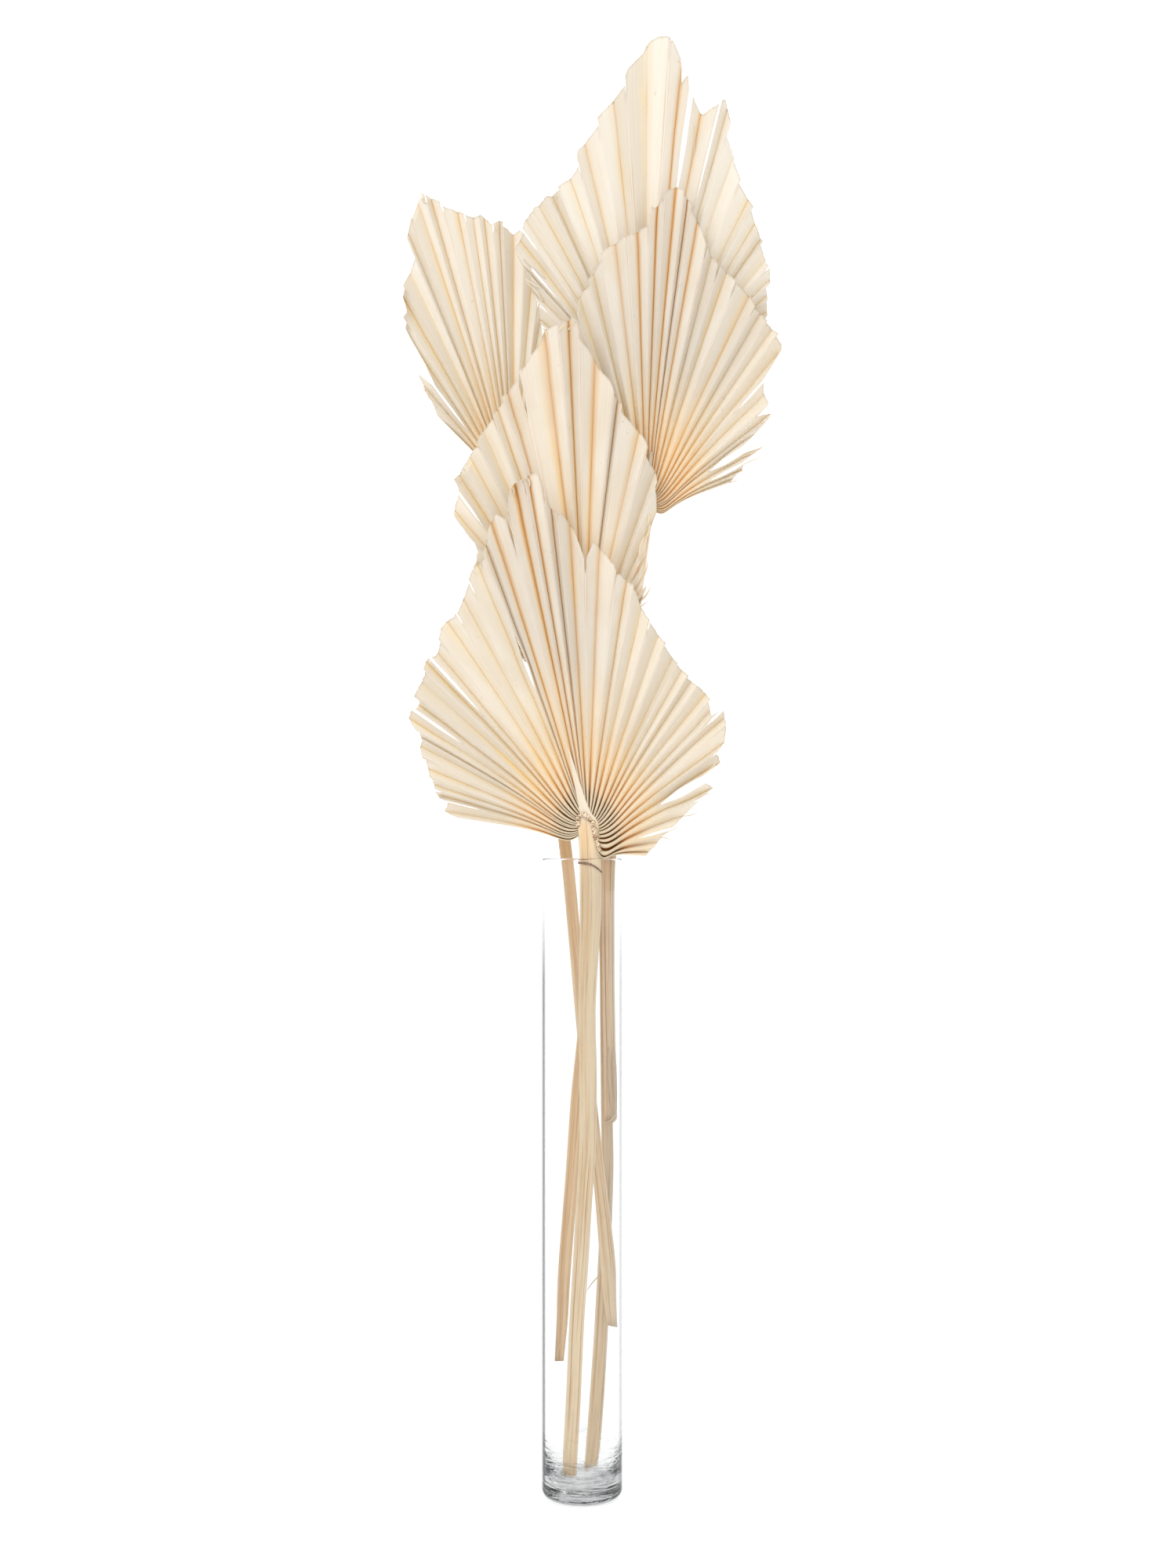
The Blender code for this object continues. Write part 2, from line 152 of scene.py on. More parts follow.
# Loose fibres of each blade: where each starts, (x, z) from the hub, its run as (x, z), its width and bend
FIBRES = {
    "leaf_front": (
        (90, 34, 14, 12, 1.2, 0.8), (82, 20, 13, 5, 0.7, -0.8), (72, 6, 12, 3, 0.8, 1),
        (62, -4, 8, 4, 0.6, 0.8), (55, -9, 9, -2, 0.5, -0.6), (-112, 19, -5, 2.5, 0.8, 0.4),
        (-86, 190, -5, 5, 0.6, 0.5), (-82, 200, -2.5, 6, 0.5, -0.4), (-58, 252, -3, 9, 1.6, 1.8),
        (-52, 258, 3, 8, 1.8, -1.8), (-46, 260, -2, 9, 1.5, 1.5),
    ),
    "leaf_middle": (
        (46, 92, 5, 16, 1.8, 1.6), (44, 76, 4, 20, 2.2, -1.8), (43, 62, 5.5, 16, 1.6, 1.5),
        (42, 46, 8.5, 12, 1.6, 1.2), (41, 38, 9, 8, 0.7, -0.8), (48, 104, 1, 13, 2, 1.6),
        (-97, 136, -5, 4, 0.8, 0.3), (-26, 259, 4, 8, 1.6, 1), (-20, 261, 6, 5, 1.8, -1),
        (-14, 262, 5, 6, 1.5, 0.9), (-30, 254, -3, 7, 1.4, 0.8), (-8, 262, -3, 7, 1.3, 0.9),
    ),
    "leaf_right": (
        (80, 54, 17, 13, 1, 1), (70, 26, 20, 9, 0.8, -1), (60, 15, 12, 3, 0.8, 0.8),
        (72, 36, 20, 10, 0.9, 1),
    ),
    "leaf_top": (
        (-80, 96, -16, 14, 1.6, 1.6), (-78, 88, -18, 10, 1.8, -1.2), (-82, 78, -14, 16, 1.4, 1.4),
        (36, 190, 1, 30, 0.5, 1.5), (-70, 160, -2, 4, 0.5, 0.3),
    ),
    "leaf_left": (
        (-50, 56, -26, 28, 0.6, -2), (-15, 206, 2, 8, 0.9, 0.3), (0, 200, 5, 8, 0.8, 0.4),
        (-74, 232, -3, 7, 2.2, 2), (-70, 230, -6, 6, 2, -2),
    ),
}

# The course of a painted dark line across the front petiole, a thin tube standing in for the glass rim's
# refraction: (x, y, z) in the scene, in millimetres, and its thickness
RIM_REFRACTION_LINE = (
    (-2.9, -19.4, 496.7, 2), (-0.8, -22, 496.6, 2.2), (3, -22.4, 496.3, 2), (6.6, -22.5, 495.3, 1.7),
    (10, -22.5, 493.5, 1.4), (13.2, -22, 491, 1.2), (14.9, -19.7, 489.2, 1),
)

# Torn strips on the petioles: start and end in the scene, in millimetres, width and bend
STEM_STRIPS = {
    "leaf_middle": (((-17.5, 11, 118), (-20, 11.5, 104), 1.6, 0.5),),
    "leaf_right": (
        ((20.6, -2.3, 352), (23.8, -4.8, 297), 2.6, 0.5), ((24, -2.3, 352), (25.6, -4.6, 298), 2.4, -0.5),
        ((25.5, -1.9, 350), (26.8, -3, 296), 1.6, -0.4), ((25.8, -4.8, 299), (18.2, -5.6, 293), 3.4, -1.4),
        ((26.4, -3.4, 302), (22, -5.4, 291.8), 2.8, -1),
    ),
    "leaf_left": (
        ((17.6, -1, 196), (15.4, -2, 175), 0.7, 0.8), ((15.4, -2, 175.2), (3.6, -3.5, 161.5), 0.7, 0.8),
    ),
}

# Each leaf starts from its solid: the hub in the scene, then outline and slits as (x, z) from the hub, all
# in millimetres. A root is the half width of the folds' start on one side, its highest and its lowest z.
# Bow is how far back the blade lies at BOW_SPAN from its hub, and wing and turn are how far back it lies at
# SIDE_SPAN to either side and to the right. A slit is (x, z) of its mouth, the share of the fold where it
# starts, half its width and, where it closes again, the share of its end. A curl is (x, z) of its tip, its
# length and how far it turns in degrees. Widths are (x, z) and how wide the pleats are there, compared with
# each other. Warm folds are (x, z) at their tips, half their width in degrees and how strong their orange
# is. The tongue is the rib's length and its lean in degrees. The stem's points are (x, y, z), width and
# depth, and its seat is what its cut end rests on.
LEAVES = {}
LEAVES["leaf_front"] = {
    "hub": (4.5, -23, 527),
    "seed": 11,
    "pleats": 36,
    "roots": ((7.5, 9, -12.5), (8, 4, -22)),
    "bow": -7,
    "wing": -7,
    "turn": 0,
    "outline": (
        (-98, 4), (-111, 10), (-106, 16), (-113, 19), (-118, 25), (-121, 35), (-125, 49), (-130, 60),
        (-127, 64), (-130, 69), (-135, 76), (-138, 82), (-135, 88), (-132, 96), (-128, 107), (-125, 117),
        (-124, 125), (-117, 129), (-114, 140), (-112, 150), (-108, 156), (-102, 158), (-101, 161),
        (-96, 174), (-91, 185), (-90, 190), (-85, 200), (-81, 204), (-77, 219), (-74, 232), (-70, 241),
        (-67, 237), (-62, 234), (-62, 247), (-61, 257), (-57, 264), (-52, 265), (-48, 262), (-46, 267),
        (-42, 269), (-37, 268), (-34, 255), (-31, 246), (-24, 239), (-21, 241), (-14, 232), (-10, 225),
        (-2, 203), (4, 219), (21, 197), (22, 193), (24, 195), (38, 178), (40, 170), (48, 156), (60, 139),
        (69, 123), (77, 113), (91, 100), (95, 94), (95, 79), (104, 88), (106, 78), (105, 62), (99, 54),
        (103, 46), (88, 33), (96, 29), (85, 18), (75, 7), (67, -2), (58, -9), (51, -19), (45, -25),
    ),
    "slits": (
        (-135, 88, 0.68, 1.1), (-121, 127, 0.64, 1.1), (-110, 17, 0.7, 0.5), (-58, 150, 0.47, 1.2, 0.68),
        (-62, 234, 0.88, 1), (-49, 262, 0.94, 0.5), (-34.5, 255, 0.94, 0.8), (-2, 203, 0.94, 1),
        (95, 80, 0.86, 1), (88, 33, 0.58, 3.2), (64, -4, 0.5, 1),
    ),
    "curls": ((-55, 262, 7, 70), (-136, 90, 8, -80)),
    "widths": (
        (-98, 4, 0.9), (-130, 64, 1), (-90, 190, 1), (-62, 250, 0.7), (-30, 250, 0.65), (4, 215, 1.2),
        (60, 139, 1.1), (95, 80, 1.2), (88, 33, 2.2), (45, -25, 2.8),
    ),
    "warm": ((-57, 258, 10, 1), (-40, 262, 8, 0.8), (-5, 215, 6, 0.5), (22, 190, 5, 0.25)),
    "tongue": (62, -15),
    "seat": "floor",
    "stem": (
        (-10.4, -5, 16, 12, 6), (-6.6, -7.5, 82, 12.3, 6.5), (-4.2, -9, 137, 12.2, 6.7),
        (-1.2, -10.3, 183, 12.8, 7), (1.8, -11.8, 237, 13.2, 7), (4.2, -13, 276, 13.7, 7),
        (4.6, -14, 333, 14.2, 7), (3.7, -15, 380, 14, 7), (5.2, -16.3, 426, 15.6, 7),
        (6.4, -17.5, 457, 17.4, 7), (6.2, -19, 500, 17.6, 6.5), (4.5, -23, 527, 17.2, 6),
    ),
}
LEAVES["leaf_middle"] = {
    "hub": (2, -8, 655),
    "seed": 23,
    "pleats": 32,
    "roots": ((6.5, 5, -9), (6.5, 4, -12)),
    "bow": 2,
    "wing": 0,
    "turn": 5,
    "outline": (
        (-34, -12), (-65, 13), (-86, 62), (-84, 85), (-88, 93), (-101, 111), (-101, 117), (-97, 130),
        (-103, 140), (-99, 144), (-95, 149), (-88, 166), (-83, 168), (-79, 179), (-72, 190), (-64, 203),
        (-53, 218), (-51, 231), (-48, 224), (-45, 233), (-36, 245), (-32, 254), (-32, 259), (-26, 263),
        (-8, 269), (-5, 259), (3, 248), (8, 237), (9, 229), (20, 217), (23, 208), (29, 199), (40, 184),
        (45, 177), (49, 165), (55, 148), (56, 138), (57, 117), (52, 103), (49, 94), (48, 84), (47, 68),
        (48, 58), (44, 42), (42, 13), (27, -17),
    ),
    "slits": (
        (-52, 222, 0.84, 1.4), (-100, 132, 0.8, 1), (54, 92, 0.7, 1.4), (45, 35, 0.35, 1.2),
        (48, 60, 0.5, 1.2), (-20, 262, 0.95, 0.5),
    ),
    "curls": ((-96, 150, 8, -70), (52, 84, 9, -90)),
    "widths": (
        (-65, 13, 1.2), (-95, 149, 1), (-20, 262, 0.85), (30, 199, 0.9), (56, 138, 1.3), (27, -17, 1.7),
    ),
    "warm": ((-48, 226, 9, 0.5), (-5, 255, 13, 0.6), (30, 205, 7, 0.45)),
    "tongue": (40, 0),
    "seat": "wall",
    "stem": (
        (-18.5, 15.5, 102, 8, 5.5), (-16.2, 14, 135, 10, 6), (-14.6, 12, 170, 11, 6), (-8.2, 7, 250, 11, 6),
        (-3.8, 3, 312, 11, 6), (2, 0.5, 368, 11, 6), (4.2, -0.5, 410, 11, 6), (4.6, -3, 500, 11, 6),
        (4, -6.5, 600, 12, 6), (2, -8, 655, 13, 5),
    ),
}
LEAVES["leaf_right"] = {
    "hub": (50.4, 10, 781),
    "seed": 37,
    "pleats": 32,
    "roots": ((6.5, 5, -9), (6.5, 4, -10)),
    "bow": 6,
    "wing": 0,
    "turn": -12,
    "outline": (
        (-15, 0), (-40, 31), (-55, 74), (-61, 118), (-55, 150), (-53, 167), (-45, 177), (-35, 198),
        (-16, 217), (-15, 210), (2, 223), (4, 235), (6, 232), (12, 241), (24, 252), (32, 244), (36, 234),
        (41, 224), (48, 201), (59, 185), (61, 186), (71, 172), (81, 162), (85, 151), (90, 149), (94, 139),
        (99, 135), (107, 124), (107, 119), (91, 92), (91, 87), (96, 75), (85, 64), (98, 68), (86, 52),
        (75, 39), (91, 43), (75, 29), (75, 23), (64, 14),
    ),
    "slits": ((58, 187, 0.93, 1), (91, 92, 0.75, 0.8), (75, 39, 0.62, 2.4), (75, 28, 0.6, 1.2)),
    "curls": ((108, 122, 8, 60),),
    "widths": (
        (-15, 0, 1.2), (-50, 165, 1.2), (-15, 212, 1.2), (4, 232, 0.6), (32, 244, 0.6), (60, 186, 1.2),
        (107, 121, 1.7), (91, 90, 1.2), (64, 14, 1),
    ),
    "warm": ((16, 240, 11, 1), (-20, 205, 7, 0.3), (75, 165, 5, 0.25)),
    "tongue": (40, 6),
    "seat": "wall",
    "stem": (
        (22.9, -1, 294, 10.4, 5.5), (22.3, 0, 320, 10.6, 6), (21.2, 1, 371, 10.5, 6),
        (20.6, 2.5, 435, 10.8, 6), (21.2, 4, 497, 11.5, 6), (30, 7, 600, 12, 6), (42, 9.5, 710, 12, 6),
        (50.4, 10, 781, 13, 5),
    ),
}
LEAVES["leaf_top"] = {
    "hub": (51, 28, 869),
    "seed": 41,
    "pleats": 38,
    "roots": ((6.5, 5, -10), (6.5, 4, -12)),
    "bow": 10,
    "wing": 0,
    "turn": -12,
    "outline": (
        (-21, -6), (-59, 22), (-84, 59), (-94, 101), (-105, 120), (-99, 135), (-97, 147), (-82, 162),
        (-70, 169), (-57, 184), (-55, 190), (-55, 199), (-44, 217), (-30, 235), (-17, 257), (-17, 261),
        (0, 281), (1, 287), (4, 293), (10, 296), (18, 295), (20, 290), (21, 294), (29, 277), (30, 267),
        (29, 251), (35, 259), (36, 243), (43, 229), (46, 228), (63, 239), (65, 232), (67, 216), (71, 195),
        (70, 188), (75, 171), (82, 157), (84, 147), (89, 130), (94, 116), (97, 100), (98, 88), (95, 84),
        (96, 79), (96, 66), (91, 45), (79, 22), (48, 0),
    ),
    "slits": (
        (-99, 137, 0.85, 0.7), (-97, 112, 0.62, 0.9), (-90, 80, 0.85, 0.5), (36, 243, 0.62, 2),
        (57, 225, 0.62, 0.8),
    ),
    "curls": ((72, 196, 7, -60),),
    "widths": ((-21, -6, 1), (-99, 137, 0.9), (-30, 235, 1), (12, 293, 1.3), (36, 250, 0.8), (96, 80, 1)),
    "warm": ((-40, 215, 6, 0.15), (30, 250, 7, 0.5)),
    "tongue": (40, 4),
    "seat": "floor",
    "stem": (
        (7, 10, 18, 11.4, 6), (9, 11, 38, 12.2, 6), (12.7, 11.5, 88, 12.4, 6.5), (15.4, 12, 130, 12, 6.5),
        (19.2, 11.2, 212, 10.8, 6.5), (20.6, 9.8, 260, 10.7, 6.5), (20, 10, 300, 10.5, 6.5),
        (19, 10.4, 400, 10.5, 6.5), (18.6, 11.6, 500, 11, 6.5), (28, 23, 650, 12, 6.5),
        (41, 27, 780, 12.5, 6), (51, 28, 869, 13, 5),
    ),
}
LEAVES["leaf_left"] = {
    "hub": (-56, 58, 804),
    "seed": 53,
    "pleats": 22,
    "roots": ((6.5, 5, -8), (6.5, 4, -14)),
    "bow": 12.5,
    "wing": 0,
    "turn": 14,
    "outline": (
        (-45, 38), (-62, 56), (-67, 67), (-72, 79), (-80, 93), (-64, 78), (-73, 98), (-91, 129), (-86, 139),
        (-91, 154), (-85, 170), (-80, 184), (-86, 199), (-86, 205), (-84, 216), (-80, 232), (-78, 239),
        (-69, 235), (-59, 229), (-46, 225), (-39, 220), (-28, 220), (-26, 222), (-17, 212), (-12, 218),
        (-9, 214), (0, 207), (6, 212), (9, 205), (20, 153), (25, 105), (27, 54), (22, 20),
    ),
    "slits": ((-64, 78, 0.5, 0.9), (-40, 221, 0.96, 0.6), (-17, 212, 0.96, 0.6)),
    "curls": ((-79, 239, 8, -90), (-90, 150, 9, 90), (-91, 129, 9, 90)),
    "widths": (
        (-45, 38, 1.8), (-73, 98, 1.8), (-86, 139, 1.3), (-84, 216, 1), (-28, 220, 0.8), (9, 205, 1.3),
        (20, 20, 1.7),
    ),
    "warm": ((-60, 225, 7, 0.2), (-15, 210, 9, 0.2)),
    "tongue": (36, -12),
    "seat": "wall",
    "stem": (
        (23.6, -3, 135, 8, 5.5), (21.8, -2, 155, 10.5, 6), (20.4, -1, 180, 12.8, 6), (17.4, 1, 213, 12, 6),
        (13.5, 3, 250, 10.5, 6), (2, 11, 350, 10.5, 6), (-8.3, 17, 460, 10.5, 6), (-12, 20, 497, 10.5, 6),
        (-30, 37, 640, 11.5, 6), (-46, 51, 750, 12, 6), (-56, 58, 804, 13, 5),
    ),
}


def smoothstep(low, high, value):
    t = min(1.0, max(0.0, (value - low) / (high - low)))
    return t * t * (3.0 - 2.0 * t)


def link_object(name, data):
    item = bpy.data.objects.new(name, data)
    bpy.context.scene.collection.objects.link(item)
    return item


def make_mesh(name, places, faces, **values):
    """A mesh with what its material reads at each point: "fan" is a vector, others are single values."""
    mesh = bpy.data.meshes.new(name)
    mesh.from_pydata(places, [], faces)
    for key, items in values.items():
        attribute = mesh.attributes.new(key, "FLOAT_VECTOR" if key == "fan" else "FLOAT", "POINT")
        attribute.data.foreach_set("vector" if key == "fan" else "value", np.array(items, np.float32).ravel())
    return mesh


def finished(name, mesh, material, sharp=None):
    """The mesh as an object with its material, smooth but for edges sharper than the given degrees."""
    mesh.materials.append(material)
    item = link_object(name, mesh)
    mesh.shade_smooth()
    if sharp is not None:
        mesh.set_sharp_from_angle(angle=math.radians(sharp))
    return item


def thicken(item, thickness):
    thick = item.modifiers.new("Thickness", "SOLIDIFY")
    thick.thickness = thickness * MM
    thick.offset = 0.0


# Node materials


class Tree:
    """Short calls for building a material's node tree. Its colour is laid on layer by layer."""

    def __init__(self, name):
        self.material = bpy.data.materials.new(name)
        self.material.use_nodes = True
        self.nodes = self.material.node_tree.nodes
        self.links = self.material.node_tree.links
        self.shader = self.nodes["Principled BSDF"]
        self.output = self.nodes["Material Output"]
        self.colour = None

    def put(self, socket, value):
        """Links a socket to the value, or sets it. A colour is given as three numbers."""
        if isinstance(value, bpy.types.NodeSocket):
            self.links.new(value, socket)
        elif value is not None:
            socket.default_value = (*value, 1.0) if socket.type == "RGBA" else value

    def attribute(self, name, output="Fac"):
        node = self.nodes.new("ShaderNodeAttribute")
        node.attribute_name = name
        return node.outputs[output]

    def split(self, vector):
        node = self.nodes.new("ShaderNodeSeparateXYZ")
        self.put(node.inputs[0], vector)
        return node.outputs[0], node.outputs[1], node.outputs[2]

    def math(self, operation, a, b=None, c=None, clamp=False):
        node = self.nodes.new("ShaderNodeMath")
        node.operation = operation
        node.use_clamp = clamp
        for socket, value in zip(node.inputs, (a, b, c)):
            self.put(socket, value)
        return node.outputs[0]

    def times(self, a, b, clamp=False):
        return self.math("MULTIPLY", a, b, clamp=clamp)

    def plus(self, a, b):
        return self.math("ADD", a, b)

    def spread(self, value, low, high, to_low=0.0, to_high=1.0, smooth=True):
        node = self.nodes.new("ShaderNodeMapRange")
        node.interpolation_type = "SMOOTHSTEP" if smooth else "LINEAR"
        for socket, given in zip(node.inputs, (value, low, high, to_low, to_high)):
            self.put(socket, given)
        return node.outputs[0]

    def noise(self, vector, scale, detail, roughness, distortion=0.0):
        node = self.nodes.new("ShaderNodeTexNoise")
        self.put(node.inputs["Vector"], vector)
        values = {"Scale": scale, "Detail": detail, "Roughness": roughness, "Distortion": distortion}
        for name, value in values.items():
            node.inputs[name].default_value = value
        return node.outputs["Fac"]

    def streaks(self, across, along, offset, detail, roughness, distortion=0.0):
        """Noise drawn out along the fibres. Across and along are each a value and its scale."""
        node = self.nodes.new("ShaderNodeCombineXYZ")
        for socket, value in zip(node.inputs, (self.times(*across), self.times(*along), offset)):
            self.put(socket, value)
        return self.noise(node.outputs[0], 1.0, detail, roughness, distortion)

    def grain(self, scales, detail, roughness, distortion=0.0):
        """Noise in the object's own space, with a scale for each axis."""
        node = self.nodes.new("ShaderNodeVectorMath")
        node.operation = "MULTIPLY"
        self.put(node.inputs[0], self.place("Object"))
        node.inputs[1].default_value = scales
        return self.noise(node.outputs[0], 1.0, detail, roughness, distortion)

    def place(self, output):
        return self.nodes.new("ShaderNodeTexCoord").outputs[output]

    def mix(self, fac, a, b, blend="MIX"):
        node = self.nodes.new("ShaderNodeMix")
        node.data_type = "RGBA"
        node.blend_type = blend
        for index, value in ((0, fac), (6, a), (7, b)):
            self.put(node.inputs[index], value)
        return node.outputs[2]

    def over(self, fac, colour, blend="MIX"):
        """Lays a colour over what the surface has so far."""
        self.colour = self.mix(fac, self.colour, colour, blend)

    def finish(self, roughness, height=None, strength=0.0, distance=0.0, specular=None):
        """Gives the shader its colour, roughness, bump and specular level."""
        self.put(self.shader.inputs["Base Color"], self.colour)
        self.put(self.shader.inputs["Roughness"], roughness)
        self.put(self.shader.inputs["Specular IOR Level"], specular)
        if height is not None:
            node = self.nodes.new("ShaderNodeBump")
            for name, value in (("Strength", strength), ("Distance", distance), ("Height", height)):
                self.put(node.inputs[name], value)
            self.put(self.shader.inputs["Normal"], node.outputs[0])


CREAM = (0.88, 0.815, 0.70)
IVORY = (0.91, 0.865, 0.78)
GREY_CREAM = (0.79, 0.725, 0.62)
NEUTRAL = (0.90, 0.875, 0.82)
PEACH_GLOW = (0.95, 0.79, 0.53)
HONEY_GLOW = (0.95, 0.64, 0.30)
YELLOW_GLOW = (0.97, 0.80, 0.42)
ORANGE = (0.66, 0.38, 0.14)
SOFT_LINE = (0.80, 0.60, 0.33)
STAIN = (0.80, 0.47, 0.16)
UMBER_SHADE = (0.60, 0.29, 0.08)
GAP_SHADE = (0.20, 0.075, 0.02)
HUB_CREST_HIGHLIGHT = (1.0, 0.885, 0.665)
CREST_HIGHLIGHT = (0.97, 0.93, 0.85)
FLANK_SHADE = (0.72, 0.54, 0.33)
EDGE_TAN = (0.66, 0.50, 0.32)
DULL_FIBRE = (0.80, 0.66, 0.46)
PALE_FIBRE = (0.96, 0.93, 0.86)
SPECK = (0.45, 0.27, 0.13)
BLOT = (0.66, 0.48, 0.28)
THROUGH_LEAF = (1.0, 0.90, 0.72)


def leaf_material(name, paleness, painted_glow_strength, hub_shade_strength):
    """Bleached blade: cream panels, streaked along the folds, warmer in the folds and near the hub, partly
    its own colour and partly a painted glow of light shining through, with painted highlights on the ridges
    and painted shade beside them and in the hub's recesses.
    """
    tree = Tree(name)
    across, along, share = tree.split(tree.attribute("fan", "Vector"))
    # On back faces the valley is turned over, so the painted highlights and painted shade keep to the ridges
    # and recesses seen from that side
    behind = tree.spread(tree.split(tree.place("Normal"))[1], -0.02, 0.02)
    valley = tree.spread(tree.attribute("pleat"), -1.0, 1.0, 1.0, 0.0, smooth=False)
    valley = tree.math("ABSOLUTE", tree.math("SUBTRACT", behind, valley))
    tone = tree.attribute("tone")
    warm = tree.attribute("warm")
    within = tree.math("FRACT", tree.times(across, 0.5))
    fibres = tree.streaks((across, 18.0), (along, 0.016), tone, 4.0, 0.62)
    clouds = tree.streaks((across, 0.7), (along, 0.018), 3.0, 3.0, 0.55, 0.4)
    patches = tree.streaks((across, 1.4), (along, 0.010), 9.0, 2.0, 0.5)
    near = tree.spread(share, 0.62, 0.06)
    close = tree.times(tree.spread(along, 75.0, 8.0), tree.spread(share, 0.72, 0.20))

    tree.colour = tree.mix(tree.spread(clouds, 0.36, 0.66), CREAM, IVORY)
    tree.over(paleness, NEUTRAL)
    tree.over(tree.times(tree.spread(tone, 0.35, 1.0), 0.7), GREY_CREAM)
    # Painted glow: warmer colour near the hub and in its folds' valleys, partly the leaf's own colour and
    # partly light shining through
    tree.over(tree.times(near, 0.75 * painted_glow_strength, clamp=True), PEACH_GLOW)
    tree.over(tree.times(tree.times(close, valley), painted_glow_strength, clamp=True), HONEY_GLOW)
    tree.over(tree.spread(fibres, 0.52, 0.78, 0.0, 0.45), DULL_FIBRE)
    tree.over(tree.spread(fibres, 0.47, 0.26, 0.0, 0.45), PALE_FIBRE)

    # Painted glow: yellow on one side of each fold's valley, light shining through the blade painted as
    # colour
    painted_glow = tree.plus(tree.times(near, 0.6 * painted_glow_strength),
                     tree.spread(patches, 0.42, 0.66, 0.10, 0.75 - 0.25 * paleness))
    painted_glow = tree.times(painted_glow, tree.spread(tone, 0.1, 0.8, 0.5, 1.1))
    painted_glow = tree.times(painted_glow, tree.spread(within, 0.46, 0.54, 1.0, 0.35))
    tree.over(tree.times(tree.spread(valley, 0.44, 0.90), painted_glow, clamp=True), YELLOW_GLOW)
    stain = tree.times(tree.spread(valley, 0.62, 0.95), warm)
    tree.over(tree.times(stain, 0.85), STAIN)
    crease = tree.plus(tree.plus(tree.times(warm, 0.7), tree.times(close, 0.8)),
                       tree.spread(patches, 0.35, 0.7, 0.25, 0.75))
    crease = tree.times(tree.spread(valley, 0.91, 0.975), crease, clamp=True)
    line = tree.mix(tree.math("MAXIMUM", warm, close), SOFT_LINE, ORANGE)
    tree.over(tree.times(crease, 0.9), line)
    # Painted highlight: a thin light line along each ridge
    tree.over(tree.times(tree.spread(valley, 0.08, 0.0), tree.spread(patches, 0.3, 0.6, 0.1, 0.7)), CREST_HIGHLIGHT)
    # Painted shade: a thin darker band beside each ridge
    flank_shade = tree.times(tree.spread(valley, 0.03, 0.06), tree.spread(valley, 0.14, 0.08))
    tree.over(tree.times(flank_shade, tree.spread(patches, 0.45, 0.7, 0.10, 0.6)), FLANK_SHADE)

    # Painted highlight: lighter ridges near the hub
    ridge = tree.times(tree.spread(along, 70.0, 20.0), tree.spread(valley, 0.55, 0.32))
    tree.over(tree.times(ridge, 0.95), HUB_CREST_HIGHLIGHT)
    # Painted shade: brown, and near-black nearest the hub, in the recesses between folds
    pit_shade = tree.times(tree.spread(along, 46.0, 10.0), tree.spread(valley, 0.50, 0.80))
    tree.over(tree.times(pit_shade, 0.75 * hub_shade_strength), UMBER_SHADE)
    gap = tree.times(tree.spread(along, 24.0, 9.0), tree.spread(valley, 0.44, 0.66))
    tree.over(tree.times(gap, 0.95 * hub_shade_strength), GAP_SHADE)

    margin = tree.times(tree.spread(share, 0.988, 0.999), tree.spread(fibres, 0.35, 0.7, 0.0, 0.6))
    tree.over(margin, EDGE_TAN)
    specks = tree.grain((420.0, 420.0, 260.0), 2.0, 0.7)
    tree.over(tree.spread(specks, 0.73, 0.78, 0.0, 0.6), SPECK)
    blots = tree.grain((75.0, 75.0, 75.0), 3.0, 0.6)
    tree.over(tree.spread(blots, 0.70, 0.76, 0.0, 0.3), BLOT)
    height = tree.plus(fibres, tree.times(specks, 0.25))
    tree.finish(tree.spread(fibres, 0.3, 0.7, 0.55, 0.72), height, 0.5, 0.00035, 0.22)

    through = tree.nodes.new("ShaderNodeBsdfTranslucent")
    tree.put(through.inputs["Color"], tree.mix(0.5, tree.colour, THROUGH_LEAF, "MULTIPLY"))
    both = tree.nodes.new("ShaderNodeMixShader")
    both.inputs[0].default_value = TRANSLUCENCY
    tree.links.new(tree.shader.outputs[0], both.inputs[1])
    tree.links.new(through.outputs[0], both.inputs[2])
    tree.links.new(both.outputs[0], tree.output.inputs["Surface"])
    return tree.material


